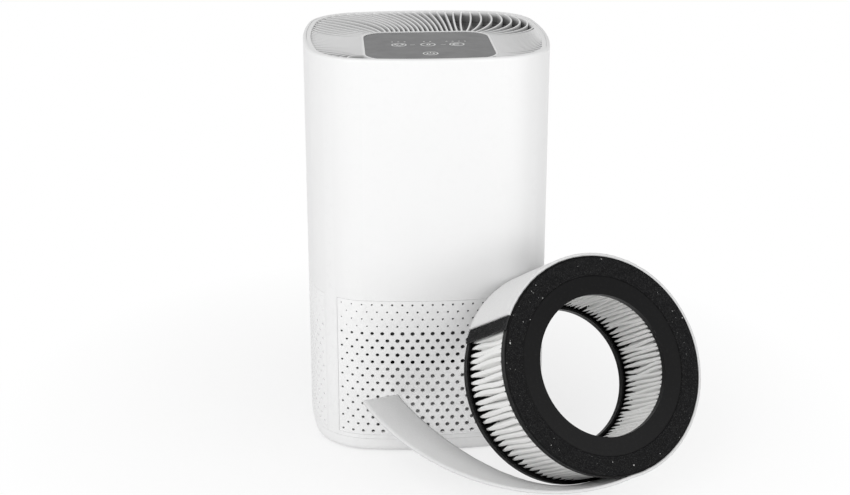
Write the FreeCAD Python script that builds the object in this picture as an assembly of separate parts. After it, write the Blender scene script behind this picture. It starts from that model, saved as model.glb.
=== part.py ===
import FreeCAD, Part
import math
import os

V = FreeCAD.Vector

# Air purifier, standing on z = 0 with its front towards -Y. All sizes are in millimetres.

# Body: a tall tube on a rounded-square footprint
half_width = 110.0            # centre to the middle of each side
corner_reach = half_width * 1.1573  # centre to the outside of each corner
side_radius = 380.0           # gentle bulge of each side
body_height = 365.0
wall = 2.2                    # moulded wall of the shell
seam = 0.2                    # gap at a visible joint between mouldings
soft_gap = 0.3                # gap round foam, fleece and paper
top_edge_radius = 2.0
collar_wall = 3.0             # shell wall where the outlet grille drops in
rim_width = 6.9               # shell edge and grille rim together
grille_depth = 10.0           # height of the outlet grille's rim and vanes
vane_count = 68
vane_thickness = 1.5
first_vane_bearing = -44.0    # rim ends of the first vane and of the whole swirl, in degrees
swirl_turn = 277.0

# Intake panels: staggered round holes that shrink towards the sides and the top
panel_skin = 1.4              # thickness of a perforated panel
panel_lip = 2.5               # shell lip that carries the panel's edge
column_pitch = half_width / 12.29
column_count = 19
row_pitch = 6.83
row_count = 19
fine_rows = 4                 # rows of small holes at the top
first_row = 21.7              # height of the lowest row
hole_radius = 1.9
fine_hole_radius = 1.0
hole_margin = 3.6             # rim of the panel outside its last hole centres

# Base cover and bottom frame
rim_plane = 14.0              # underside of the bottom frame
foot_height = 1.0             # rubber feet stand this far out of the cover
foot_inset = 0.6
foot_radius = 8.0
middle_foot_radius = 12.0
foot_reach = half_width - 35.0  # corner feet, along X and along Y
cover_plate = 2.0
cover_wall = 2.0
cover_edge_radius = 6.0
opening_radius = half_width - 4.8   # round opening for the filter
frame_plate = 3.0
corner_screw = (corner_reach - 9.2) / math.sqrt(2.0)    # corner screws, along X and along Y
recess_radius = 4.35
recess_depth = 5.5
boss_radius = 6.0
post_radius = 4.5
screw_radius = 1.7
screw_fit = 0.05
head_radius = 3.5
head_height = 2.4
guide_gap = 3.4               # between the paired guide ribs
guide_thickness = 1.4
guide_reach = 5.0
guide_height = 9.0

# Filter cartridge: a pleated ring between two caps, wrapped in fleece
filter_radius = opening_radius - 11.7
bore_radius = filter_radius - 33.1
cap_depth = 6.0
cap_floor = 2.0
foam_inner = filter_radius - 17.5
foam_thickness = 3.0
foam_proud = 1.0
pleat_count = 96
pleat_outer = filter_radius - 3.0
pleat_inner = bore_radius + 3.1
pleat_depth = 9.0
fleece_thickness = 2.8
fleece_setback = 1.0

# Fan: deck, guard, motor in its cup, impeller, housing
deck_height = 83.0            # underside of the fan base plate
deck_thickness = 3.0
deck_radius = opening_radius - 0.9
inlet_radius = deck_radius - 40.3
guard_ring_shares = (0.0, 0.37, 0.72, 1.0)      # spacing of the rings from hub to rim
guard_bar = 1.8
guard_depth = 2.6
guard_spokes = 12
guard_flange = inlet_radius + 6.0
guard_screw_circle = inlet_radius + 3.0
hub_radius = 31.5
hub_hole = 9.0
cup_radius = 20.0
cup_wall = 1.6
cup_flange_radius = 30.0
cup_flange = 2.5
cup_screw_circle = 26.0
cup_screws = 4
cup_bottom = 12.0
end_cap_radius = 18.6
column_bottom = 4.4
shaft_radius = 2.0
bearing_radius = 6.5
bearing_width = 5.0
running_fit = 0.05
motor_low = 20.0
motor_high = 72.0
motor_skin = 1.5
rotor_radius = 13.0
wheel_low = 92.0
wheel_high = 142.0
wheel_radius = inlet_radius + 11.0
blade_inner = wheel_radius - 21.0
blade_count = 24
blade_thickness = 1.2
wheel_plate = 2.0
nut_height = 4.0
housing_radius = wheel_radius + 19.0
housing_wall = 2.0
housing_top = 196.0
housing_flange = 5.0
stator_low = 152.0
stator_high = 188.0
stator_hub = wheel_radius - 17.0
stator_vanes = 9
plenum_deck = 3.0

# Control panel and electronics
control_half_width = half_width * 0.509
control_back = 12.0           # back edge of the glossy panel
control_corner = 22.0
control_border = 1.6          # white border round the panel
control_recess = 1.6          # panel face below the top of the rim
lens_thickness = 2.4
board_thickness = 1.6
tray_top = body_height - 21.0
tray_floor = tray_top - 14.0
tray_wall = 1.5
main_board_height = tray_floor + 10.0
tray_post = 3.5
socket_height = 155.0
socket_radius = 5.6
wire_radius = 1.5
motor_wire_radius = 1.0
power_lead_x = 6.0            # the power lead rises beside the middle of the back wall
power_lead_y = half_width - 7.5
# The motor lead rises in the back right corner, clear of the fan housing
motor_lead_reach = (housing_radius + housing_flange + 2.0) / math.sqrt(2.0)
motor_lead_door = 30.0        # where the motor lead enters the tray
lead_drop = 4.5               # height of both leads below the top of the tray

# The second filter leans back on the front right corner of the body
lean = 30.0                   # its face is turned up by this much
facing = 24.1                 # and away from the front, towards +X
lean_bearing = -55.1          # direction from the corner's centre to its back face
floor_gap = 0.3
tail_lead = 72.0              # length over which the loose fleece leaves the filter level
tail_tip_x = -32.2            # where the tail leans on the front
tail_tip_height = 58.5
tail_tip_run = V(-23.8, 50.9, 13.3)
tail_middle_across = V(-0.10, -0.59, -0.03)     # the tail's width direction half way along
tail_tip_across = V(-0.4145, -0.8474, 0.3319)
tail_stations = 12
hook_width = 12.0
hook_thickness = 1.6
wrap_end = 323.0              # fleece start, counted from the filter's left side through its foot

# ------------------------------------------------------------------ worked out from the above
root_two = math.sqrt(2.0)
guard_rings = [hub_radius + 0.5 + share * (inlet_radius - hub_radius - 2.7)
               for share in guard_ring_shares]
corner_centre = ((side_radius - half_width) ** 2 - (side_radius - corner_reach) ** 2) / (
    2 * root_two * (side_radius - corner_reach) - 2 * (side_radius - half_width))
corner_radius = corner_reach - root_two * corner_centre
side_angle = math.atan2(corner_centre, corner_centre - half_width + side_radius)
cover_plate_top = foot_height + cover_plate
cover_top = rim_plane - seam
filter_low = cover_plate_top + soft_gap
filter_high = deck_height - soft_gap
cap_low = filter_low + foam_proud
cap_high = filter_high - foam_proud
filter_length = cap_high - cap_low
fleece_inner = filter_radius + soft_gap
fleece_outer = fleece_inner + fleece_thickness
deck_top = deck_height + deck_thickness
seat_height = rim_plane + recess_depth
frame_boss_top = seat_height + frame_plate
grille_top = body_height - 0.4
grille_low = grille_top - grille_depth
lens_top = grille_top - control_recess + 0.4
lens_low = lens_top - lens_thickness
control_front = -(half_width - rim_width)
plenum_top = housing_top + plenum_deck
lead_height = tray_top - lead_drop
front_at_tip = half_width - side_radius + math.sqrt(side_radius ** 2 - tail_tip_x ** 2)
tail_tip = V(tail_tip_x, -front_at_tip - 2 * soft_gap, tail_tip_height)
nodes = {}


# ------------------------------------------------------------------ shapes used again and again
def outline(inset, height):
    """The rounded-square footprint, moved in by inset, as a wire at the given height."""
    edges = []
    for quarter in range(4):
        turn = FreeCAD.Rotation(V(0, 0, 1), 90 * quarter)
        side = (half_width - side_radius, 0.0, side_radius - inset, -side_angle, side_angle)
        corner = (corner_centre, corner_centre, corner_radius - inset, side_angle,
                  math.pi / 2 - side_angle)
        for middle_x, middle_y, radius, start, end in (side, corner):
            points = []
            for angle in (start, (start + end) / 2, end):
                spot = V(middle_x + radius * math.cos(angle), middle_y + radius * math.sin(angle), height)
                points.append(turn.multVec(spot))
            edges.append(Part.Arc(*points).toShape())
    return Part.Wire(edges)


def prism(inset, low, high):
    return Part.Face(outline(inset, low)).extrude(V(0, 0, high - low))


def frame_ring(outer_inset, inner_inset, low, high):
    return prism(outer_inset, low, high).cut(prism(inner_inset, low - 1, high + 1))


def rod(radius, low, high, x=0.0, y=0.0):
    return Part.makeCylinder(radius, high - low, V(x, y, low))


def ring(outer, inner, low, high, x=0.0, y=0.0):
    return rod(outer, low, high, x, y).cut(rod(inner, low - 1, high + 1, x, y))


def block(x_low, x_high, y_low, y_high, z_low, z_high):
    return Part.makeBox(x_high - x_low, y_high - y_low, z_high - z_low, V(x_low, y_low, z_low))


def turned(shape, degrees):
    """A copy turned about the upright axis of the body."""
    copy = shape.copy()
    copy.rotate(V(0, 0, 0), V(0, 0, 1), degrees)
    return copy


def around(shape, count, start=0.0):
    return [turned(shape, start + 360.0 * step / count) for step in range(count)]


def rounded_rectangle(half_x, y_low, y_high, radius, low, high):
    """An upright block with four rounded corners."""
    plan = block(-half_x, half_x, y_low, y_high, low, high)
    upright = [edge for edge in plan.Edges if abs(edge.BoundBox.ZLength - (high - low)) < 1e-6]
    return plan.makeFillet(radius, upright)


def four_corners(reach_x, reach_y=None):
    other = reach_x if reach_y is None else reach_y
    return [(x * reach_x, y * other) for x in (-1, 1) for y in (-1, 1)]


def screw(x, y, seat, length, upward, head=head_radius, height=head_height, shank=screw_radius):
    """A pan-head screw whose head bears on the seat and whose shank runs away from it."""
    sign = 1 if upward else -1
    body = rod(shank, min(seat, seat + sign * length), max(seat, seat + sign * length), x, y)
    outer = seat - sign * height
    cap = rod(head, min(seat, outer), max(seat, outer), x, y)
    depth = height / 2
    slot_low = min(outer, outer + sign * depth)
    cross = block(x - head * 0.6, x + head * 0.6, y - 0.45, y + 0.45, slot_low, slot_low + depth)
    cross = cross.fuse(block(x - 0.45, x + 0.45, y - head * 0.6, y + head * 0.6, slot_low,
                             slot_low + depth))
    return body.fuse(cap).cut(cross)


def group(shapes):
    return Part.makeCompound(shapes)


def joined(shapes):
    """One solid from shapes that touch or overlap."""
    whole = shapes[0].multiFuse(shapes[1:])
    return whole.removeSplitter()


def tube(points, radius, bend):
    """A round tube along straight runs joined by tangent arcs."""
    edges = []
    start = points[0]
    for before, corner, after in zip(points, points[1:], points[2:]):
        back = (before - corner).normalize()
        ahead = (after - corner).normalize()
        half_turn = back.getAngle(ahead) / 2
        reach = bend / math.tan(half_turn)
        middle_way = (back + ahead).normalize()
        centre = corner + middle_way * (bend / math.sin(half_turn))
        first = corner + back * reach
        last = corner + ahead * reach
        edges.append(Part.makeLine(start, first))
        edges.append(Part.Arc(first, centre - middle_way * bend, last).toShape())
        start = last
    edges.append(Part.makeLine(start, points[-1]))
    run = points[1] - points[0]
    profile = Part.Wire([Part.makeCircle(radius, points[0], run)])
    return Part.Wire(edges).makePipeShell([profile], True, False)


# ------------------------------------------------------------------ intake panels and outer shell
def hole_field():
    """Centre, height and radius of every hole of one intake panel."""
    for row in range(row_count):
        columns = column_count - row % 2
        for column in range(columns):
            across = (column - (columns - 1) / 2) * column_pitch
            from_edge = min(column, columns - 1 - column)
            full = fine_hole_radius if row >= row_count - fine_rows else hole_radius
            yield across, first_row + row * row_pitch, full * min(1.0, 0.55 + 0.09 * from_edge)


window_half = (column_count - 1) / 2 * column_pitch + hole_margin
window_low = first_row - hole_margin
window_high = first_row + (row_count - 1) * row_pitch + hole_margin


def intake_panel():
    """The front intake panel; the other three are the same piece turned."""
    skin = frame_ring(0.0, panel_skin, window_low, window_high)
    plate = skin.common(block(-window_half, window_half, -half_width - 1, 0, window_low, window_high))
    holes = [Part.makeCylinder(radius, half_width, V(across, -half_width - 1, height), V(0, 1, 0))
             for across, height, radius in hole_field()]
    return plate.cut(group(holes))


def window_cutter():
    """Rebate for a panel and the smaller opening behind it."""
    rebate = frame_ring(-1.0, panel_skin, window_low - seam, window_high + seam)
    edge = window_half + seam
    rebate = rebate.common(block(-edge, edge, -half_width - 2, 0, window_low - seam, window_high + seam))
    inner = window_half - panel_lip
    through = block(-inner, inner, -half_width - 2, -corner_centre, window_low + panel_lip,
                    window_high - panel_lip)
    through = through.common(prism(-1.0, window_low, window_high))
    return rebate.fuse(through)


def outer_shell():
    skin = prism(0.0, rim_plane, body_height)
    top_edges = [edge for edge in skin.Edges if edge.BoundBox.ZMin > body_height - 1e-6]
    skin = skin.makeFillet(top_edge_radius, top_edges)
    skin = skin.cut(prism(wall, rim_plane - 1, grille_low - 2.5))
    skin = skin.cut(prism(collar_wall + 2.2, grille_low - 3, grille_low + 1))
    skin = skin.cut(prism(collar_wall, grille_low, body_height + 1))
    ledge = frame_ring(wall - 0.5, wall + 2.3, housing_top - 3, housing_top)
    pieces = [skin, ledge]
    for x, y in four_corners(corner_screw):
        pieces.append(rod(post_radius, frame_boss_top, deck_height, x, y))
    reach = corner_screw * root_two
    web = block(reach, corner_reach - wall + 0.4, -1.5, 1.5, frame_boss_top, deck_height)
    pieces += around(web, 4, 45.0)
    shell = joined(pieces)
    for x, y in four_corners(corner_screw):
        shell = shell.cut(rod(screw_radius + screw_fit, frame_boss_top - 1, frame_boss_top + 14, x, y))
        shell = shell.cut(rod(screw_radius + screw_fit, deck_height - 14, deck_height + 1, x, y))
    shell = shell.cut(group(around(window_cutter(), 4)))
    socket_hole = Part.makeCylinder(socket_radius + seam, 2 * wall + 4,
                                    V(0, half_width - wall - 3, socket_height), V(0, 1, 0))
    return shell.cut(socket_hole)


def bottom_frame():
    plate = prism(wall + seam, rim_plane, rim_plane + frame_plate)
    pieces = [plate, rod(opening_radius + 1.2, rim_plane, rim_plane + 5.0)]
    for x, y in four_corners(corner_screw):
        pieces.append(rod(boss_radius, rim_plane, frame_boss_top, x, y))
    frame = joined(pieces).cut(rod(opening_radius, rim_plane - 1, frame_boss_top + 1))
    for x, y in four_corners(corner_screw):
        frame = frame.cut(rod(recess_radius, rim_plane - 1, seat_height, x, y))
        frame = frame.cut(rod(screw_radius + screw_fit, seat_height - 1, frame_boss_top + 1, x, y))
    ribs = []
    for edge in (guide_gap / 2, -guide_gap / 2 - guide_thickness):
        rib = block(opening_radius - guide_reach, opening_radius + 0.8, edge, edge + guide_thickness,
                    rim_plane, rim_plane + guide_height)
        ribs += around(rib, 2)
    return joined([frame] + ribs)


# ------------------------------------------------------------------ base cover and feet
def foot_places():
    return [(x, y, foot_radius) for x, y in four_corners(foot_reach)] + [(0, 0, middle_foot_radius)]


def base_cover():
    tray = prism(0.0, foot_height, cover_top)
    low_edges = [edge for edge in tray.Edges if edge.BoundBox.ZMax < foot_height + 1e-6]
    tray = tray.makeFillet(cover_edge_radius, low_edges)
    hollow = prism(cover_wall, cover_plate_top, cover_top + 1)
    inner_edges = [edge for edge in hollow.Edges if edge.BoundBox.ZMax < cover_plate_top + 1e-6]
    tray = tray.cut(hollow.makeFillet(cover_edge_radius - cover_wall, inner_edges))
    collar = ring(opening_radius - 0.5, opening_radius - 2.5, cover_plate_top - 0.5, rim_plane + 5.0)
    gate = block(0, opening_radius + 2, -guide_gap / 2 - guide_thickness - 1.0,
                 guide_gap / 2 + guide_thickness + 1.0, rim_plane - 3.0, rim_plane + 6.0)
    collar = collar.cut(group(around(gate, 2)))
    tab = block(opening_radius - 2.5, opening_radius - 0.5, -guide_gap / 2 + 0.4, guide_gap / 2 - 0.4,
                rim_plane - 4.0, rim_plane + guide_height - 1.0)
    cover = joined([tray, collar] + around(tab, 2))
    for x, y, radius in foot_places():
        cover = cover.cut(rod(radius + 0.1, foot_height - 1, foot_height + foot_inset, x, y))
    return cover


def rubber_feet():
    return group([rod(radius, 0.0, foot_height + foot_inset, x, y) for x, y, radius in foot_places()])


# ------------------------------------------------------------------ filter cartridge, on its own axis
def filter_cap():
    """Channel-shaped end cap with its closed face at 0; the pleats enter from above."""
    body = ring(filter_radius, bore_radius, 0, cap_depth)
    channel = ring(pleat_outer + 1.0, pleat_inner - 1.0, cap_floor, cap_depth + 1)
    groove = ring(filter_radius - 0.8, foam_inner, -1, foam_thickness - foam_proud)
    floor = ring(pleat_outer + 1.0, foam_inner - 2.0, cap_floor, foam_thickness + 0.6)
    return joined([body.cut(channel), floor]).cut(groove)


def foam_ring():
    return ring(filter_radius - 0.8 - seam, foam_inner + seam, -foam_proud, foam_thickness - foam_proud)


def pleat_pack(length):
    """Pleated paper: a star-shaped ring with folds cut from outside and from inside."""
    step = 2 * math.pi / pleat_count
    outer = []
    inner = []
    for fold in range(pleat_count):
        angle = fold * step
        outer.append((pleat_outer, angle))
        outer.append((pleat_outer - pleat_depth, angle + step / 2))
        inner.append((pleat_inner + pleat_depth, angle))
        inner.append((pleat_inner, angle + step / 2))
    low = foam_thickness + 0.6
    faces = []
    for points in (outer, inner):
        corners = [V(r * math.cos(a), r * math.sin(a), low) for r, a in points]
        faces.append(Part.Face(Part.makePolygon(corners + corners[:1])))
    height = V(0, 0, length - 2 * low)
    return faces[0].extrude(height).cut(faces[1].extrude(height))


def flipped(shape, length):
    """The same piece at the other end of a cartridge of the given length."""
    copy = shape.copy()
    copy.rotate(V(0, 0, 0), V(1, 0, 0), 180)
    copy.translate(V(0, 0, length))
    return copy


def fleece_band(start, end):
    """Fleece round the cartridge between two angles, in degrees."""
    height = filter_length - 2 * fleece_setback
    outer = Part.makeCylinder(fleece_outer, height, V(0, 0, fleece_setback), V(0, 0, 1), end - start)
    inner = Part.makeCylinder(fleece_inner, height + 2, V(0, 0, fleece_setback - 1))
    band = outer.cut(inner)
    return turned(band, start)


def add_cartridge(prefix, place, names):
    """Adds the caps, foam rings and pleats of one cartridge, moved to its place."""
    pieces = {
        names[0]: filter_cap(),
        names[1]: flipped(filter_cap(), filter_length),
        names[2]: foam_ring(),
        names[3]: flipped(foam_ring(), filter_length),
        "pleats": pleat_pack(filter_length),
    }
    for name, shape in pieces.items():
        nodes[prefix + name] = placed(shape, place)


def placed(shape, place):
    copy = shape.copy()
    copy.Placement = place.multiply(copy.Placement)
    return copy


# ------------------------------------------------------------------ the leaning filter
def lean_place():
    """Placement that takes the cartridge's axis and back cap to the leaning filter."""
    turn = math.radians(facing)
    rise = math.radians(lean)
    axis = V(math.sin(turn) * math.cos(rise), -math.cos(turn) * math.cos(rise), math.sin(rise))
    left = axis.cross(V(0, 0, 1)).normalize()
    foot = axis.cross(left)
    height = fleece_outer * math.cos(rise) - fleece_setback * math.sin(rise) + floor_gap
    bearing = math.radians(lean_bearing)
    away = V(math.cos(bearing), math.sin(bearing), 0)
    corner = V(corner_centre, -corner_centre, 0)
    near = corner_radius
    far = corner_radius + 3 * fleece_outer
    for halving in range(40):
        middle = (near + far) / 2
        gap = 3 * fleece_outer
        for step in range(360):
            angle = math.radians(step)
            edge = away * middle + axis * fleece_setback
            edge = edge + (left * math.cos(angle) + foot * math.sin(angle)) * fleece_outer
            gap = min(gap, math.hypot(edge.x, edge.y) - corner_radius)
        if gap < soft_gap + 0.1:
            near = middle
        else:
            far = middle
    base = corner + away * far + V(0, 0, height)
    matrix = FreeCAD.Matrix(left.x, foot.x, axis.x, base.x, left.y, foot.y, axis.y, base.y,
                            left.z, foot.z, axis.z, base.z, 0, 0, 0, 1)
    return FreeCAD.Placement(matrix), axis, left, foot, base


def loose_fleece(place, axis, left, foot, base):
    """Fleece wrapped part way round, then leaving the foot of the filter as a curling tail."""
    band = placed(fleece_band(90.0, wrap_end), place)
    middle = (fleece_inner + fleece_outer) / 2
    width = filter_length - 2 * fleece_setback
    start = base + foot * middle + axis * fleece_setback
    control = [start, start + left * tail_lead, tail_tip - tail_tip_run, tail_tip]
    sections = []
    for station in range(tail_stations + 1):
        t = station / tail_stations
        weights = ((1 - t) ** 3, 3 * t * (1 - t) ** 2, 3 * t * t * (1 - t), t ** 3)
        spot = V(0, 0, 0)
        for weight, point in zip(weights, control):
            spot = spot + point * weight
        slopes = (-3 * (1 - t) ** 2, 3 * (1 - t) ** 2 - 6 * t * (1 - t), 6 * t * (1 - t) - 3 * t * t,
                  3 * t * t)
        run = V(0, 0, 0)
        for slope, point in zip(slopes, control):
            run = run + point * slope
        across = axis * (1 - t) ** 2 + tail_middle_across * (2 * t * (1 - t)) + tail_tip_across * t * t
        across = across.normalize()
        thick = run.cross(across).normalize() * (fleece_thickness / 2)
        corners = [spot - thick, spot + across * width - thick, spot + across * width + thick,
                   spot + thick]
        sections.append(Part.makePolygon(corners + corners[:1]))
    tail = Part.makeLoft(sections, True, True)
    return band.fuse(tail).removeSplitter()


# ------------------------------------------------------------------ fan base plate and inlet guard
def fan_base_plate():
    lug = block(90.0, corner_screw * root_two + 5.0, -7.0, 7.0, deck_height, deck_top)
    plate = joined([rod(deck_radius, deck_height, deck_top)] + around(lug, 4, 45.0))
    plate = plate.cut(rod(inlet_radius, deck_height - 1, deck_top + 1))
    for x, y in four_corners(corner_screw):
        plate = plate.cut(rod(screw_radius + screw_fit, deck_height - 1, deck_top + 1, x, y))
    holes = rod(screw_radius + screw_fit, deck_height - 1, deck_top + 1, guard_screw_circle)
    plate = plate.cut(group(around(holes, 4)))
    middle = housing_radius + housing_flange / 2
    holes = rod(screw_radius + screw_fit, deck_height - 1, deck_top + 1, middle)
    return plate.cut(group(around(holes, 4, 22.5)))


def inlet_guard():
    low = deck_height + 0.2
    high = low + guard_depth
    pieces = [ring(hub_radius, hub_hole, low, high)]
    for radius in guard_rings:
        pieces.append(ring(radius + guard_bar / 2, radius - guard_bar / 2, low, high))
    for level, (near, far) in enumerate(zip(guard_rings, guard_rings[1:])):
        spoke = block(near, far, -guard_bar / 2, guard_bar / 2, low, high)
        pieces += around(spoke, guard_spokes, 15.0 * (level % 2))
    pieces.append(ring(inlet_radius - seam, guard_rings[-1], low, deck_top + 1.5))
    pieces.append(ring(guard_flange, inlet_radius - 1.5, deck_top, deck_top + 1.5))
    eye = rod(3.0, low, high, 37.0 * math.cos(-1.1), 37.0 * math.sin(-1.1))
    guard = joined(pieces + [eye])
    guard = guard.cut(rod(1.3, low - 1, high + 1, 37.0 * math.cos(-1.1), 37.0 * math.sin(-1.1)))
    cup_hole = rod(screw_radius + screw_fit, low - 1, high + 1, cup_screw_circle)
    guard = guard.cut(group(around(cup_hole, cup_screws, 45.0)))
    rim_hole = rod(screw_radius + screw_fit, deck_top - 1, deck_top + 3, guard_screw_circle)
    return guard.cut(group(around(rim_hole, 4)))


# ------------------------------------------------------------------ motor column
def motor_cup():
    top = deck_height + 0.2
    tube_part = ring(cup_radius, cup_radius - cup_wall, cup_bottom, top)
    flange = ring(cup_flange_radius, cup_radius - cup_wall, top - cup_flange, top)
    ridges = [ring(cup_radius + 0.7, cup_radius - 0.5, height, height + 1.2)
              for height in (cup_bottom + 1.5, cup_bottom + 5.0, cup_bottom + 8.5)]
    gusset = block(cup_radius - 0.5, cup_radius + 6.0, -0.9, 0.9, top - cup_flange - 9.0, top - 1)
    shelf = ring(cup_radius - 0.5, rotor_radius, motor_low - 5.0, motor_low - 3.0)
    cup = joined([tube_part, flange, shelf] + ridges + around(gusset, cup_screws))
    hole = rod(screw_radius + screw_fit, top - cup_flange - 1, top + 1, cup_screw_circle)
    return cup.cut(group(around(hole, cup_screws, 45.0)))


def motor_cup_cap():
    """Closed end of the column: raised rim, radial ribs and an oval boss."""
    body = rod(end_cap_radius, column_bottom, cup_bottom)
    plug = rod(cup_radius - cup_wall - seam, cup_bottom, cup_bottom + 2.0)
    hollow = rod(end_cap_radius - 1.8, column_bottom - 1, column_bottom + 2.6)
    cap = joined([body, plug]).cut(hollow)
    rib = block(6.0, end_cap_radius - 1.0, -0.6, 0.6, column_bottom + 1.0, column_bottom + 3.0)
    boss = block(-3.0, 3.0, -5.0, 5.0, column_bottom + 0.6, column_bottom + 3.0)
    ends = [rod(5.0, column_bottom + 0.6, column_bottom + 3.0, x) for x in (-3.0, 3.0)]
    return joined([cap, boss] + ends + around(rib, 8, 22.5))


def motor_can():
    can_radius = cup_radius - cup_wall - seam
    can = ring(can_radius, can_radius - motor_skin, motor_low, motor_high)
    floor = ring(can_radius, bearing_radius + seam, motor_low - 3.0, motor_low)
    seat = ring(bearing_radius + 2.0, bearing_radius + seam, motor_low - 3.0, motor_low + 2.0)
    return joined([can, floor, seat])


def motor_end_bell():
    can_radius = cup_radius - cup_wall - seam
    return ring(can_radius, bearing_radius + seam, motor_high, motor_high + bearing_width)


def motor_bearings():
    low = ring(bearing_radius + seam, shaft_radius + running_fit, motor_low - 3.0, motor_low + 2.0)
    high = ring(bearing_radius + seam, shaft_radius + running_fit, motor_high, motor_high + bearing_width)
    return group([low, high])


def motor_magnets():
    outer = cup_radius - cup_wall - seam - motor_skin - running_fit
    arc = ring(outer, rotor_radius + 0.5, motor_low + 6.0, motor_high - 6.0)
    gap = block(-30, 30, -2.5, 2.5, motor_low, motor_high)
    return arc.cut(gap)


def motor_shaft():
    return rod(shaft_radius, motor_low - 2.5, wheel_high + nut_height + 2.0)


def motor_rotor():
    return ring(rotor_radius, shaft_radius, motor_low + 5.0, motor_high - 5.0)


# ------------------------------------------------------------------ impeller and air duct
def impeller():
    hub = ring(7.0, shaft_radius, wheel_high - 14.0, wheel_high)
    plate = ring(wheel_radius + 0.5, shaft_radius, wheel_high - wheel_plate, wheel_high)
    shroud = ring(wheel_radius + 0.5, wheel_radius - 7.0, wheel_low, wheel_low + wheel_plate)
    bend = 34.0
    middle = V(blade_inner + 4.0, bend - 4.0, 0)
    sleeve = ring(bend, bend - blade_thickness, wheel_low, wheel_high - 1.0, middle.x, middle.y)
    lane = ring(wheel_radius, blade_inner, wheel_low, wheel_high - 1.0)
    near_side = block(0, wheel_radius, -wheel_radius, middle.y, wheel_low, wheel_high)
    blade = sleeve.common(lane).common(near_side)
    blade = max(blade.Solids, key=lambda solid: solid.Volume)
    return joined([hub, plate, shroud] + around(blade, blade_count))


def impeller_nut():
    corners = [V(4.0 * math.cos(math.radians(60 * k)), 4.0 * math.sin(math.radians(60 * k)), wheel_high)
               for k in range(6)]
    nut = Part.Face(Part.makePolygon(corners + corners[:1])).extrude(V(0, 0, nut_height))
    return nut.cut(rod(shaft_radius, wheel_high - 1, wheel_high + nut_height + 1))


def fan_housing():
    inner = housing_radius - housing_wall
    duct = ring(housing_radius, inner, deck_top, housing_top)
    low_flange = ring(housing_radius + housing_flange, inner, deck_top, deck_top + 2.0)
    top_flange = ring(housing_radius + housing_flange, inner, housing_top - 2.0, housing_top)
    seat = ring(housing_radius, inner - 2.5, stator_low - 2.5, stator_low)
    housing = joined([duct, low_flange, top_flange, seat])
    middle = housing_radius + housing_flange / 2
    hole = rod(screw_radius + screw_fit, deck_top - 1, deck_top + 3, middle)
    housing = housing.cut(group(around(hole, 4, 22.5)))
    gate = turned(block(inner - 4, housing_radius + 9, -2.5, 2.5, deck_top - 1, deck_top + 5.5), 45.0)
    return housing.cut(gate)


def outlet_stator():
    """Fixed vanes above the impeller that turn the swirl into an upward flow."""
    inner = housing_radius - housing_wall
    rim = ring(inner - seam, inner - 2.2, stator_low, stator_high)
    hub = ring(stator_hub, stator_hub - 2.0, stator_low, stator_high)
    lid = rod(stator_hub, stator_high - 2.0, stator_high)
    vane = block(stator_hub - 1.0, inner - 1.5, -0.8, 0.8, stator_low, stator_high)
    vane.rotate(V(stator_hub, 0, (stator_low + stator_high) / 2), V(1, 0, 0), 25)
    vane = vane.common(ring(inner - 1.5, stator_hub - 1.0, stator_low, stator_high))
    return joined([rim, hub, lid] + around(vane, stator_vanes))


def plenum_plate():
    plate = prism(wall + 0.4, housing_top, plenum_top)
    plate = plate.cut(rod(housing_radius - housing_wall, housing_top - 1, plenum_top + 1))
    for x, y in ((power_lead_x, power_lead_y), (motor_lead_reach, motor_lead_reach)):
        plate = plate.cut(rod(wire_radius + 1.5, housing_top - 1, plenum_top + 1, x, y))
    return plate


# ------------------------------------------------------------------ outlet grille
def border_point(distance):
    """Point and outward direction on the panel border, distance run from its front right corner."""
    half_x = control_half_width + control_border
    radius = control_corner + control_border
    low = control_front + radius
    high = control_back + control_border - radius
    lead = math.radians(30.0)
    side = high - low
    back = 2 * (half_x - radius)
    arcs = ((half_x - radius, low, -lead, 0.0), (half_x - radius, high, 0.0, math.pi / 2),
            (radius - half_x, high, math.pi / 2, math.pi))
    lengths = (radius * lead, side, radius * math.pi / 2, back, radius * math.pi / 2, side)
    stretch = 0
    while stretch < len(lengths) - 1 and distance > lengths[stretch]:
        distance -= lengths[stretch]
        stretch += 1
    if stretch % 2 == 0:
        x, y, start, end = arcs[stretch // 2]
        angle = start + distance / radius
        return V(x + radius * math.cos(angle), y + radius * math.sin(angle), 0), V(
            math.cos(angle), math.sin(angle), 0)
    if stretch == 1:
        return V(half_x, low + distance, 0), V(1, 0, 0)
    if stretch == 3:
        return V(half_x - radius - distance, high + radius, 0), V(0, 1, 0)
    return V(-half_x, high - distance, 0), V(-1, 0, 0)


def rim_point(angle, inset):
    """Point of the inset outline seen from the middle at the given angle, in degrees."""
    quarter = math.floor((angle + 45.0) / 90.0)
    local = math.radians(angle - 90.0 * quarter)
    ray = V(math.cos(local), math.sin(local), 0)
    corner_y = corner_centre if local > 0 else -corner_centre
    for middle, radius in ((V(half_width - side_radius, 0, 0), side_radius - inset),
                           (V(corner_centre, corner_y, 0), corner_radius - inset)):
        along = middle.dot(ray)
        spot = ray * (along + math.sqrt(radius ** 2 - middle.dot(middle) + along ** 2))
        if abs(math.atan2(spot.y - middle.y, spot.x - middle.x)) <= side_angle:
            break
    return FreeCAD.Rotation(V(0, 0, 1), 90.0 * quarter).multVec(spot)


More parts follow.
